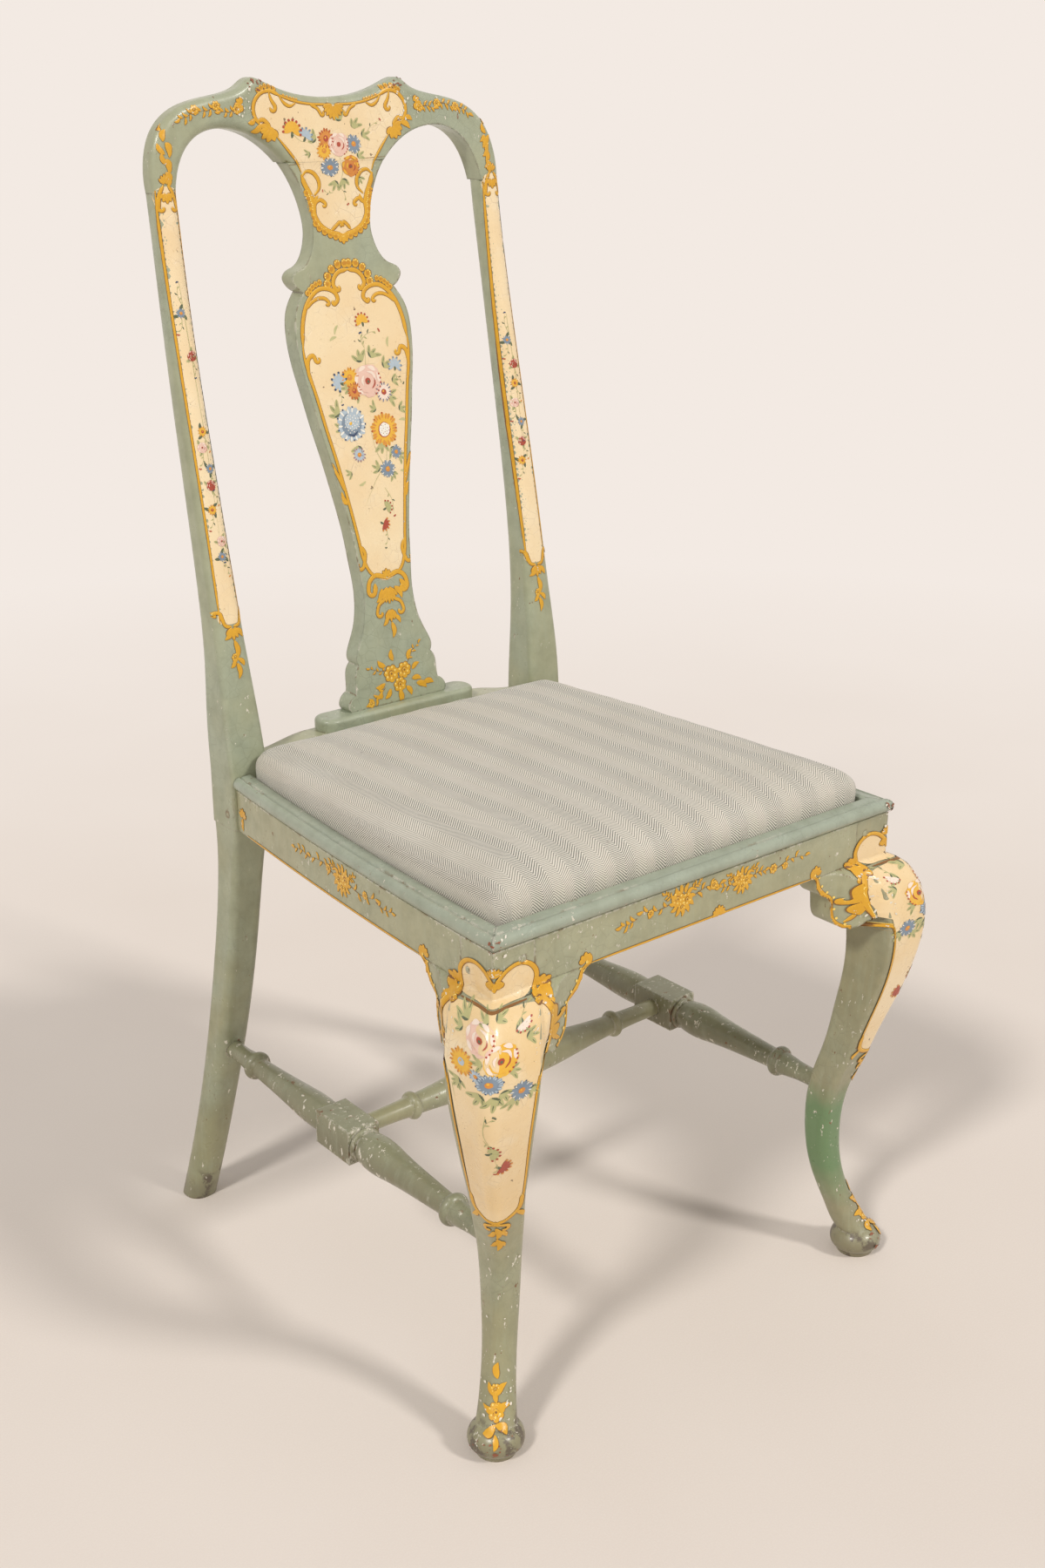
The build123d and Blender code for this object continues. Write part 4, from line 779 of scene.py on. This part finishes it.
        # every face looks out of the wood
        paint = bmesh.new()
        paint.from_mesh(data)
        paint.normal_update()
        into = self.surface.into
        bmesh.ops.reverse_faces(paint, faces=[f for f in paint.faces if f.normal.dot(into) > 0])
        paint.to_mesh(data)
        paint.free()
        piece = new_object(self.name, data)
        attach(piece, "chair_frame")


class Pen:
    """Draws on one side (1 or -1) of a middle line: points, degrees and turns are given as on the right side."""

    def __init__(self, art, side=1, middle=0.0):
        self.art, self.side, self.middle = art, side, middle

    def at(self, x, z):
        return (self.middle + self.side * x, z)

    def line(self, points):
        return [self.at(x, z) for x, z in points]

    def each(self, draw, *rows):
        """Draws one motif at several places: x, z, degrees, then the motif's own values."""
        for x, z, degrees, *rest in rows:
            draw(self.at(x, z), rad(90 - self.side * (90 - degrees)), *rest)

    def scroll(self, points, width, curl=0, tail=0, shape="even", radius=None):
        self.art.scroll(self.line(points), width, self.side * curl, self.side * tail, shape, radius)

    def frill(self, points, size, spacing, out):
        self.art.frill(self.line(points), size, spacing, self.side * out)


def both_pens(art, middle=0.0):
    return Pen(art, -1, middle), Pen(art, 1, middle)


def both(points):
    """A closed outline from its right half, drawn from the middle top to the middle bottom."""
    return list(points) + [(-x, y) for x, y in reversed(points) if x > 0.01]


# ------------------------------------------------------------------ crest and splat
back_surface = Surface(["crest_rail", "back_splat", "rear_leg_left", "rear_leg_right"],
                       (0, -0.5, 0), (1, 0, 0), (0, 0, 1), (0, 1, 0), bridge=(956, 979))


def paint_crest():
    art = Painting("crest_painting", back_surface)
    art.fill(both([
        (0, 1013), (16, 1013.5), (32, 1015), (46, 1018.5), (57, 1023), (68, 1023.5), (76, 1019), (79.5, 1012),
        (79, 1004), (74, 997), (64, 991), (55, 983), (46, 973), (40, 965), (37, 956), (34, 946), (30, 937),
        (28, 929), (27, 921), (22, 912), (12, 905.5), (0, 903),
    ]), "cream", spacing=2.6)
    # the glued joint across the crest shows as a fine dark line
    for line in [(-56, 964.0), (-30, 965.0), (-12, 966.0)], [(24, 967.4), (40, 968.2), (56, 968.8)]:
        art.stroke(line, 0.45, "umber", SHADE, "swell")
    for pen in both_pens(art):
        pen.scroll([(4, 1013.2), (20, 1013.6), (34, 1015.4), (46, 1018.6), (55, 1022)], 1.7)
        # corner: a band outside, a curl and a hollow leaf inside
        pen.frill([(57, 1025.4), (66, 1027), (73, 1024)], 4.2, 4.5, 1)
        pen.scroll([(52, 1020.6), (61, 1024.6), (70, 1023.6), (77, 1018), (80, 1011), (79, 1003.5), (74.5, 997.5)], 3.0)
        pen.scroll([(63, 1023.6), (61.5, 1018), (58, 1012.5)], 3.2, 1, shape="swell", radius=3.4)
        pen.scroll([(53, 1020.4), (48.5, 1014.8), (43, 1012.2), (37, 1014.6)], 2.6, shape="swell")
        pen.frill([(49, 1019.4), (42, 1017.4), (36, 1016)], 3.0, 3.6, -1)
        pen.scroll([(77, 1000.5), (71, 1001.5), (66.5, 997.6)], 3.2, 1, radius=2.6)
        pen.each(art.shell, (64.5, 994.5, -60, 12, 6, 2.6))
        pen.each(art.gilt_leaf, (73, 998, -30, 12, 5), (66, 996, 250, 13, 5.4), (79, 1002, -22, 8, 4.4))
        pen.scroll([(60, 988.6), (54.5, 982.6), (47.5, 974.4), (41, 966), (37.5, 958)], 2.0, shape="swell")
        # loop with the cream showing through, then the deep band
        pen.scroll([(26, 938.4), (20.6, 944), (20.6, 951), (25.6, 957.2), (32.4, 958.6), (37.4, 954.4)], 3.4,
                   shape="swell")
        pen.scroll([(37.6, 956), (35.4, 948.6), (30.6, 939.6), (27.8, 931), (27.8, 921.6), (22.4, 912.6),
                    (12, 906.4), (0, 904)], 4.2)
        pen.scroll([(27, 924), (25.6, 931.5), (20.5, 934.5), (16, 932)], 3.0, 1, shape="swell", radius=2.2)
        pen.each(art.gilt_leaf, (26, 930, 115, 9, 3.6))
        pen.frill([(36, 940), (33.5, 930), (31.6, 919), (25.6, 909.4), (14, 903), (3, 899.6)], 6.0, 5.4, -1)
    pen = Pen(art)
    pen.each(art.shell, (0, 905, -90, 9, 5, 2.2))
    pen.scroll([(-12, 908), (-6, 912.4), (-3, 914.6)], 2.8, -1, radius=1.9)
    pen.scroll([(9, 908.6), (5.6, 912.6), (3.0, 914.8)], 2.8, 1, radius=1.7)
    pen.each(art.shell, (2, 1013.4, -90, 13.5, 9, 2.7))
    pen.scroll([(-22, 1013.2), (-15, 1010), (-11.5, 1004.8)], 2.4, 1, radius=1.8)
    pen.scroll([(26, 1013.2), (19.5, 1010), (15.5, 1004.8)], 2.4, -1, radius=1.8)
    # worn tips and bare patches
    art.chips(((-84, 1024), (-66, 1036), 16, "brick", 1.5), ((66, 1027), (84, 1036), 12, "brick", 1.3),
              ((-96, 1004), (-80, 1026), 22, "gesso", 1.2), ((70, 1000), (98, 1024), 26, "gesso", 1.2),
              ((-40, 896), (-28, 940), 8, "gesso", 0.9))
    # flowers
    pen.each(art.leaves, (9, 1000, 110, 10), (-19, 985, 150, 10), (22, 993, 60, 10), (30, 986, 20, 8),
             (24, 968, 40, 8), (-3, 950, -110, 9), (5, 951, -80, 10), (22, 951, -50, 7), (-27, 974, 200, 6))
    pen.each(art.sprig, (33, 985, 40, 22, "rose"), (-2, 948, -60, 20, "rose"), (-6, 940, 170, 10, "rose", 2.6))
    pen.each(art.half_flower, (-43, 992, 80, 10, "yellow", "rose", 3.6, 9))
    art.stem([(-43, 990), (-36, 984), (-28, 982)])
    pen.each(art.half_flower, (-30, 987, 60, 8, "sky", "blue", 2.8, 6))
    art.daisy((-9, 985), 8.5, "orange", "rose", "rose")
    art.daisy((-12, 975), 7.5, "yellow", "orange", "orange")
    art.rose((4, 980), 10.5)
    art.daisy((20, 980), 8.2, "blue", count=12)
    art.daisy((-7, 961), 9.8, "blue", count=14, flat=0.8)
    art.rose((15, 961.5), 9.4, "orange", "yellow", "rose")
    art.stem([(4, 969), (6, 956), (0, 944)])
    # gilt sprays along the arms and down the ends
    for x, z, degrees, length in (96, 1010, -4, 16), (116, 1013, -12, 18), (137, 1010, -24, 16):
        for pen in both_pens(art):
            pen.each(art.gilt_sprig, (x, z, degrees, length, 5.2))
            art.gilt_flower(pen.at(x, z), 4.2)
    for pen in both_pens(art):
        pen.each(art.shell, (90, 1014, 0, 8, 5, 2.4))
        for x, z, degrees in (168, 985, -100), (170, 972, -100), (171, 962, -95):
            pen.each(art.gilt_leaf, (x, z, degrees, 12, 5), (x, z, -130, 8, 3.6))
    art.finish()


def paint_splat():
    art = Painting("splat_painting", back_surface)
    art.fill(both([
        (0, 874), (9, 872.6), (15, 868), (17.5, 861.6), (22, 860.6), (31, 861), (42, 855), (50, 844), (55.5, 828),
        (57, 810), (55, 789), (50, 769), (45, 742), (39, 715), (32.5, 679), (26.5, 640), (23, 620), (15, 606), (0, 599),
    ]), "cream")
    for pen in both_pens(art):
        # crown: inner arch, shoulders and their scallops
        pen.frill([(2, 877.4), (9, 877), (15, 873.6), (19.4, 868.6), (20.4, 863)], 7.2, 6.0, 1)
        pen.scroll([(0, 874.6), (9, 873.2), (15, 868.4), (16.8, 862), (13.6, 857.8)], 3.6, -1, radius=1.8)
        pen.scroll([(17, 846.4), (13.8, 850), (16.4, 856), (24, 859.6), (33, 859.4), (41.5, 854), (49, 844.6),
                    (54.4, 830), (57, 812)], 3.6, tail=1, radius=1.6)
        pen.scroll([(48.6, 843.6), (41.6, 849.2), (34, 852), (27.4, 851.2), (24, 848.4)], 2.8, 1, radius=1.8)
        pen.frill([(24, 862.4), (31, 863.4), (38, 860.6), (43.6, 855.6)], 5.0, 4.8, 1)
        # side borders and their leaves
        pen.scroll([(57, 816), (57, 803), (54, 786), (49.5, 766), (44.5, 740), (38.5, 712), (32, 677), (26.5, 642),
                    (23.5, 622), (16, 607), (0, 600)], 2.6)
        pen.scroll([(53, 778), (55, 790), (53.5, 801), (48, 804), (45.5, 799)], 3.8, -1, shape="swell", radius=2.6)
        pen.scroll([(33, 683), (38.5, 697), (43.5, 708)], 3.0, -1, radius=3)
        pen.each(art.gilt_leaf, (33, 672, 70, 13, 5))
        pen.scroll([(25, 634), (21, 626), (24, 615)], 3.2, 1, radius=4)
        # foot of the reserve
        pen.scroll([(3, 603), (13, 605), (20, 600), (22, 592)], 4.0, -1, radius=4.6)
        pen.each(art.gilt_leaf, (14, 598, -70, 12, 5), (7, 592, -58, 14, 5.5))
        pen.scroll([(4, 582), (12, 578), (15, 571)], 3.0, -1, radius=3.6)
        pen.each(art.gilt_leaf, (4, 566, -55, 10, 4))
    pen = Pen(art)
    pen.each(art.shell, (0, 601, 90, 9, 5, 2.0), (0, 594, -90, 17, 7, 1.5), (0, 573, -90, 13, 5, 1.3))
    pen.each(art.gilt_leaf, (0, 560, -90, 15, 5))
    # the tall nosegay
    for line in ([(14, 700), (6, 716), (2, 740)], [(15, 700), (18, 716), (20, 726)],
                 [(14, 702), (2, 690), (-14, 668)], [(4, 775), (8, 800), (7, 822)]):
        art.stem(line)
    pen.each(art.leaves, (4, 795, 110, 12), (14, 797, 50, 11), (27, 787, 40, 10), (34, 774, 10, 8),
             (-14, 775, 190, 10), (-6, 768, 220, 9), (-28, 752, 140, 12), (-26, 740, 200, 9), (27, 760, -10, 11),
             (38, 748, 20, 9), (12, 752, 150, 8), (-13, 722, -110, 11), (12, 722, -90, 11), (22, 716, -60, 9),
             (30, 708, -30, 8), (-24, 700, 200, 7), (8, 700, 160, 9), (20, 694, -60, 8))
    for row in ((-22, 820, 60, 9), (-28, 815, 20, 8), (34, 805, 80, 9), (36, 740, -10, 9), (30, 695, -20, 8),
                (-10, 690, 200, 8)):
        pen.each(art.leaf, (*row, 2.6, "pale_leaf", "pale_leaf"))
    pen.each(art.half_flower, (9, 829, 100, 8, "yellow", "rose", 3.6, 8))
    pen.each(art.sprig, (4, 812, 20, 22, "rose", 4), (8, 806, 100, 12, "navy", 4))
    pen.each(art.half_flower, (39, 788, 80, 8, "sky", "blue", 4.2, 8))
    pen.each(art.sprig, (36, 780, -40, 12, "moss", 3))
    pen.each(art.half_flower, (-24, 779, 140, 9, "sky", "navy", 4.4, 8))
    pen.each(art.sprig, (-26, 772, -80, 12, "navy", 3))
    art.daisy((-12, 782), 9, "yellow", "orange", "orange")
    art.daisy((-9, 770), 8, "orange", "rose", "rose")
    art.rose((7, 777), 15.0)
    art.daisy((23, 766), 9, "blush", "navy", "rose", 10)
    art.daisy((-17, 741), 15.5, "sky", "white", "blue", 20)
    art.blob((-17, 741), 11.0, "blue", LIGHT, ragged=0.03, count=18)
    art.blob((-16, 744), 8.4, "sky", TOP, 0.9)
    art.seeds((-17, 742), 30, 1.55, 1, 0.62, ("white",), 6)
    art.stroke([(-22, 733), (-16, 731.6), (-11, 735)], 2.2, "navy", TOP + 0.1, "leaf")
    art.daisy((18, 733), 15.0, "yellow", "orange", "orange", 17)
    art.blob((18, 733), 7.0, "rose", LIGHT + 0.06)
    art.blob((18, 733), 6.2, "white", TOP)
    art.seeds((18, 733), 16, 1.3, 0.6, 0.5, ("sky", "umber", "umber"), 5)
    art.daisy((-13, 714), 7.0, "sky", "rose", "orange", 9)
    art.daisy((28, 712), 6.4, "blue", count=10)
    art.daisy((16, 698), 8.2, "blue", count=12)
    pen.each(art.sprig, (10, 682, -75, 26, "rose", 3.4))
    pen.each(art.half_flower, (9, 664, 20, 7, "leaf", "rose", 2.6, 6), (4, 650, -30, 7, "rose", "orange", 2.6, 6))
    pen.each(art.sprig, (6, 645, -100, 16, "moss", 3))
    # gilt spray at the foot of the splat
    pen.each(art.gilt_leaf, (-12, 520, 140, 11), (-3, 524, 95, 11), (14, 522, 60, 11), (18, 512, 30, 10),
             (17, 503, -10, 11), (10, 497, -60, 11), (2, 495, -90, 13), (-8, 498, -130, 11), (-14, 504, 190, 11),
             (22, 498, -30, 13), (-18, 497, -140, 9), (30, 497, -10, 12))
    pen.each(art.gilt_sprig, (-14, 500, -150, 20, 6), (-10, 516, 165, 20, 4), (14, 520, 48, 20, 4))
    for x, z, radius in (-6, 512, 8.6), (9, 513, 8.0), (3, 500, 7.4), (-31, 488, 4.0):
        art.gilt_flower((x, z), radius)
    art.finish()


def paint_stiles():
    for side, name, posies in (
        (-1, "left_stile_painting", (850, 815, 753, 740, 722, 708, 688, 661, 648)),
        (1, "right_stile_painting", (800, 778, 760, 742, 724, 706, 688)),
    ):
        art = Painting(name, back_surface)
        heights = [948, 925, 880, 830, 780, 730, 680, 640, 608, 592]
        inner = [(side * (163.8 - 0.6 * index / 9), z) for index, z in enumerate(heights)]
        outer = [(side * (181.5 + 2.6 * index / 9), z) for index, z in enumerate(heights)]
        art.fill(outer + inner[::-1], "cream", spacing=2.6)
        art.edging(inner, 1.4, 2.0)
        art.edging(outer, 1.4, 2.0)
        # ends of the panel
        middle = side * 173
        pen = Pen(art, 1, middle)
        pen.each(art.shell, (0, 946, -90, 9, 5, 2.0), (0, 952, 90, 9, 5, 1.6))
        for half in both_pens(art, middle):
            half.scroll([(2, 952), (6, 945), (8, 934)], 2.6, -1, radius=2.4)
            half.scroll([(1, 588), (7, 590), (10, 600)], 2.8, -1, radius=3)
            half.each(art.gilt_leaf, (2, 586, -50, 11, 4.6), (1.4, 560, -54, 9, 4))
        pen.each(art.shell, (0, 588, -90, 12, 5, 1.6))
        pen.each(art.gilt_leaf, (0, 576, -90, 17, 5))
        art.gilt_flower((middle - 1, 561), 4.0)
        pen.each(art.gilt_leaf, (0, 556, -90, 14, 4.6))
        for z, degrees in (968, 75), (976, 60), (986, 110), (994, 80):
            Pen(art, side).each(art.gilt_leaf, (170, z, degrees, 10, 4.4))
        flowers = ((art.daisy, 4.4, "blue", "white", "orange", 8), (art.rose, 4.6, "rose", "pink", "rose"),
                   (art.daisy, 4.6, "yellow", "orange", "rose", 8), (art.rose, 4.6))
        for index, z in enumerate(posies):
            u = (-2.4, 2.0, 0.2)[index % 3]
            for degrees in (70, 200, -50):
                pen.each(art.leaf, (u, z, degrees + 15 * index, 7.5, 2.8, "leaf" if index % 2 else "moss"))
            draw, *looks = flowers[index % 4]
            draw(pen.at(u, z), *looks)
            bud = ("rose", "navy", "orange")[index % 3]
            pen.each(art.sprig, (u, z - 4, -90 + 20 * (index % 3 - 1), 13, bud, 2.8))
        art.stem(pen.line([(0, posies[0] + 24), (2, posies[2]), (0, posies[-1] - 14)]))
        pen.each(art.sprig, (0, posies[0] + 6, 95, 18, "navy", 3))
        art.finish()


# ------------------------------------------------------------------ front legs
def paint_front_leg(side, name):
    outward = Vector((side, -1, 0)).normalized()
    across = Vector((-side, -1, 0)).normalized()
    corner = Vector((side * HALF_FRONT, SEAT_FRONT, 0)) * MM
    wood = [f"front_leg_{name}", "front_seat_rail", f"{name}_seat_rail", f"knee_bracket_front_{name}",
            f"knee_bracket_side_{name}", "front_seat_moulding", f"{name}_seat_moulding"]
    art = Painting(f"{name}_leg_painting",
                   Surface(wood, corner + outward * 0.25, across, (0, 0, 1), -outward, cover=0.6))
    # the knee, and above the crease the heart on the corner of the rails
    art.fill([(-30, 399), (-38, 393), (-42, 385), (-41, 376), (-37, 364), (-33, 350), (-30, 332), (-25, 293),
              (-21, 250), (-18, 226), (-11, 216), (0, 213), (11, 216), (18, 226), (22, 250), (26, 284), (31, 322),
              (34, 348), (37, 366), (41, 378), (42, 386), (38, 394), (29, 399), (12, 400.5), (0, 400.5),
              (-12, 400.5)], "old_cream", 1.25, crease=True, dense=(392, 402))
    art.fill([(-27, 403.5), (-30, 411), (-27, 420), (-20, 426), (-12, 427), (-5, 422), (0, 419), (5, 422),
              (12, 427.5), (20, 427.5), (26, 421), (27, 411), (23, 403.5), (12, 402.6), (0, 402), (-13, 402.6)],
             "old_cream", 1.25, crease=True)
    # a dark line along the crease between knee and heart: painted shadow, with dirt in it
    art.stroke([(-26, 401.2), (-12, 401.2), (0, 400.6), (12, 401.2), (23, 401.4)], 1.6, "umber", SHADE, "swell")
    for pen in both_pens(art):
        pen.scroll([(2, 419), (8, 425.5), (16, 428.5), (24, 425), (28.5, 416), (27, 405)], 3.0, 1, 1, radius=3)
        pen.each(art.shell, (30, 404, 30, 10, 5, 2.4))
        pen.each(art.gilt_leaf, (30, 402, -20, 12, 5))
        pen.scroll([(29, 400), (36, 397), (42, 389), (42, 379)], 3.6, 1, radius=3.4)
        pen.scroll([(42, 384), (40.5, 372), (37, 358), (33.5, 342)], 3.0, shape="tail")
        pen.each(art.gilt_leaf, (40, 376, -80, 12, 5))
        art.edging(pen.line([(34, 350), (31, 325), (26.5, 289), (22.5, 252), (19.5, 228)]), 1.3, 1.9)
        pen.scroll([(20, 236), (17, 222), (9, 215), (0, 213)], 3.0)
        pen.each(art.gilt_leaf, (15, 219, -60, 9, 4))
        pen.scroll([(2, 211), (8, 208)], 2.6, -1, radius=3)
        pen.each(art.gilt_leaf, (1.6, 203, -56, 10, 4), (1.0, 190, -56, 8, 3.4))
    pen = Pen(art)
    pen.each(art.shell, (0, 420, -90, 9, 5, 1.9), (0, 422, 90, 9, 5, 1.6), (0, 209, 90, 6, 5, 2.2))
    pen.each(art.gilt_leaf, (0, 207, -90, 14, 5), (0, 193, -90, 14, 5))
    # nosegay on the knee
    pen.each(art.leaves, (-2, 396, 150, 8), (4, 396, 30, 8), (-18, 393, 120, 10), (-22, 388, 170, 8),
             (19, 386, 40, 9), (25, 381, 0, 8), (-6, 372, 200, 9), (-24, 352, 220, 9), (-26, 350, -70, 9),
             (14, 362, -10, 8), (-8, 348, -110, 12), (2, 346, -90, 12), (8, 348, -60, 10), (16, 340, -110, 9),
             (27, 342, -40, 9))
    pen.each(art.sprig, (20, 392, 60, 12, "moss", 3))
    pen.each(art.half_flower, (22, 391, -60, 6, "blush", "rose", 2.8, 6))
    art.rose((-8, 385), 11.5)
    art.daisy((-22, 365), 9.5, "yellow", "orange", "sky", 12)
    art.rose((8, 372), 11.8, "yellow", "blush", "rose")
    art.daisy((0, 356), 10.5, "blue", "sky", "orange", 15, 0.72)
    art.daisy((-10, 360), 6.0, "sky", "blue", "orange", 9, 0.8)
    art.daisy((22, 344), 7.6, "blue", count=12)
    art.stem([(-30, 345), (-27, 330)])
    art.stem([(-3, 330), (-5, 312), (1, 296), (5, 270)], 0.7)
    pen.each(art.sprig, (-5, 318, 50, 12, "moss", 4), (-5, 306, -70, 12, "moss", 3.6))
    pen.each(art.half_flower, (0, 293, 10, 7.5, "leaf", "rose", 3.2, 7), (7, 277, -30, 7.5, "rose", "orange", 3.0, 7))
    pen.each(art.sprig, (4, 282, -100, 10, "rose", 3))
    # rubbed blossom above the foot
    pen.each(art.gilt_leaf, (0, 62, 90, 12), (0, 50, 50, 11), (0, 50, 130, 11), (0, 40, 10, 11), (0, 40, 170, 11),
             (0, 31, -30, 11), (0, 31, 210, 11), (0, 26, -90, 10), (0, 45, 90, 9), (0, 45, -60, 9), (0, 45, 240, 9))
    art.gilt_flower((0, 39), 7)
    art.gilt_flower((-1, 54), 4.6)
    # rubbed foot, corner of the seat frame, and brackets
    art.chips(((-14, 16), (14, 60), 34, "gesso", 0.9), ((-20, 6), (20, 24), 20, "brick", 1.6),
              ((-3, 443), (5, 454), 12, "brick", 1.2), ((-9, 438), (9, 454), 14, "gesso", 1.0),
              ((-4, 424), (4, 431), 12, "gesso", 1.2), ((29, 360), (41, 402), 34, "gesso", 1.0),
              ((-41, 360), (-29, 402), 16, "gesso", 0.8), ((-30, 60), (30, 200), 26, "gesso", 0.8))
    art.finish()


# ------------------------------------------------------------------ rails
LINE_HEIGHT = 406.4          # of the gilt line along the lower edge of the rails, mm


def gilt_spray(art, x, z, spread, size=1.0):
    """A row of blossoms thinning out to both sides."""
    for degrees in range(0, 360, 30):
        art.gilt_leaf(polar((x, z), rad(degrees), 6 * size), rad(degrees), 8.5 * size, 4 * size)
    for dx, dz, radius in (-5 * size, 2, 7), (5.5 * size, -1, 6.4), (0, -6 * size, 4.6):
        art.gilt_flower((x + dx, z + dz), radius * size)
    for pen in both_pens(art, x):
        pen.each(art.gilt_sprig, (12 * size, z, 4, spread, 6 * size),
                 (10 * size, z + 5 * size, 30, 9 * size, 4.4 * size))


def bracket_border(art, corner, turn):
    """Gilt edge of a knee bracket; turn is the way along the rail, away from the corner."""
    pen = Pen(art, turn, corner)
    points = [(96, 407), (90, 403), (86, 394), (80, 387), (73, 381), (72, 370), (69.5, 361), (62, 354.5), (54, 354)]
    pen.scroll(points, 3.6, tail=1, radius=4)
    for (u, z), (u_next, z_next) in zip(points, points[1:]):
        angle = math.atan2(z_next - z, (u_next - u) * turn)
        art.gilt_leaf(pen.at((u + u_next) / 2, (z + z_next) / 2), angle + turn * 0.9, 6.5, 3.2)
        art.blob(pen.at(u - 3, z + 1.5), 1.3, "bright", TOP, count=6)
    pen.scroll([(60, 358), (52, 364), (47, 374), (50, 384), (45, 392)], 3.4, -1, radius=3.6)
    pen.each(art.shell, (92, 408, 90, 9, 5, 2.4))


def paint_front_rail():
    front = Surface(["front_seat_rail", "knee_bracket_front_left", "knee_bracket_front_right"],
                    (0, -0.5, 0), (1, 0, 0), (0, 0, 1), (0, 1, 0))
    art = Painting("front_rail_painting", front)
    pen = Pen(art)
    for end in (-1, 1):
        bracket_border(art, end * HALF_FRONT, -end)
    for z, width, tone, layer in (LINE_HEIGHT, 1.9, "umber", SHADE), (LINE_HEIGHT - 0.2, 1.4, "gold", BODY):
        art.stroke([(x, z) for x in (-124, -60, 0, 60, 124)], width, tone, layer, step=8)
    pen.each(art.shell, (14, 404.6, 90, 10, 7, 2.6))
    gilt_spray(art, -28, 431, 30)
    gilt_spray(art, 40, 429, 16, 0.85)
    art.gilt_flower((7, 434), 4.4)
    art.gilt_flower((76, 429), 4.6)
    pen.each(art.gilt_sprig, (80, 428, 4, 34, 5.4))
    art.gilt_flower((90, 428), 3.6)
    art.gilt_flower((-62, 429), 3.6)
    pen.each(art.gilt_sprig, (-76, 429, 186, 16, 6))
    art.finish()


def paint_side_rail(side, name):
    flank = Surface([f"{name}_seat_rail", f"knee_bracket_side_{name}", f"rear_leg_{name}"],
                    (side * 0.5, 0, 0), (0, 1, 0), (0, 0, 1), (-side, 0, 0))
    art = Painting(f"{name}_rail_painting", flank)
    pen = Pen(art)
    bracket_border(art, SEAT_FRONT, 1)
    art.edging([(y, LINE_HEIGHT) for y in (-150, -60, 40, 140)], 1.4, 1.9, step=8)
    gilt_spray(art, -34, 427, 40)
    art.gilt_flower((-12, 430), 4.2)
    pen.each(art.gilt_sprig, (20, 428, 0, 26, 5.4), (-86, 427, 180, 24, 5.0))
    art.gilt_flower((-70, 427), 3.8)
    pen.each(art.shell, (148, 420, 90, 10, 5, 2.0))
    pen.each(art.gilt_leaf, (148, 420, -90, 12, 5))
    art.finish()


paint_crest()
paint_splat()
paint_stiles()
paint_front_leg(-1, "left")
paint_front_leg(1, "right")
paint_front_rail()
paint_side_rail(-1, "left")
paint_side_rail(1, "right")


# ------------------------------------------------------------------ floor, light and camera
BACKDROP = srgb(243, 234, 227)
WARM = (1.0, 0.97, 0.93)
FLOOR_HALF = 14.0            # m
GLOW_FROM, GLOW_TO = 0.7, 2.6                # distances over which the floor melts into the backdrop, m


def make_floor():
    """A pale cloth-like floor that melts into the backdrop's colour away from the chair."""
    m = Material("pale_floor", (240, 230, 222))
    spot = m.place()
    m.tint(m.noise(spot, 1.6), 0.35, 0.7, 1.0, (235, 224, 215))
    m.tint(m.noise(spot, 620.0, 2.0), 0.4, 0.7, 0.25, (246, 239, 232))
    material = m.finish(0.95, Specular_IOR_Level=0.1)
    far = m.node("ShaderNodeVectorMath", {0: spot}, operation="LENGTH").outputs["Value"]
    glow = m.node("ShaderNodeEmission", {"Color": BACKDROP, "Strength": 1.0})
    share = m.times(m.ramp(far, GLOW_FROM, GLOW_TO), m.seen("Is Camera Ray", "Is Glossy Ray"))
    mix = m.node("ShaderNodeMixShader", {0: share, 1: m.shader.outputs[0], 2: glow.outputs[0]})
    m.join(mix.outputs[0], m.output.inputs["Surface"])
    data = bpy.data.meshes.new("floor")
    corners = [(x * FLOOR_HALF, y * FLOOR_HALF, 0) for x, y in ((-1, -1), (1, -1), (1, 1), (-1, 1))]
    data.from_pydata(corners, [], [(0, 1, 2, 3)])
    data.materials.append(material)
    floor = new_object("floor", data)


def make_world():
    world = bpy.data.worlds.new("studio")
    scene.world = world
    sky = Nodes(world)
    fill = sky.node("ShaderNodeBackground", {"Color": (1.0, 0.97, 0.94, 1.0), "Strength": 0.40})
    shown = sky.node("ShaderNodeBackground", {"Color": BACKDROP, "Strength": 1.0})
    seen = sky.seen("Is Camera Ray", "Is Glossy Ray", "Is Transmission Ray")
    mix = sky.node("ShaderNodeMixShader", {0: seen, 1: fill.outputs[0], 2: shown.outputs[0]})
    sky.node("ShaderNodeOutputWorld", {"Surface": mix.outputs[0]})


def aim(thing, source, direction):
    thing.location = source
    thing.rotation_euler = Vector(direction).to_track_quat("-Z", "Y").to_euler()


def add_lamp(name, source, strength):
    """Even studio light from one side, with soft-edged shadows."""
    data = bpy.data.lights.new(name, "SUN")
    data.energy = strength
    data.angle = rad(9)
    data.color = WARM
    aim(new_object(name, data), source, -Vector(source))


make_floor()
make_world()
add_lamp("left_softbox", (-2.1, -0.7, 2.1), 1.30)
add_lamp("right_softbox", (0.9, -2.3, 1.9), 1.25)

camera_data = bpy.data.cameras.new("camera")
camera_data.sensor_fit = "VERTICAL"
camera_data.sensor_height = 36.0
camera_data.lens = 43.14
camera = new_object("camera", camera_data)
yaw, pitch = rad(39.64), rad(20.80)
aim(camera, (-0.9856, -1.2024, 1.0410),
    (math.sin(yaw) * math.cos(pitch), math.cos(yaw) * math.cos(pitch), -math.sin(pitch)))
scene.camera = camera
scene.view_settings.view_transform = "Standard"
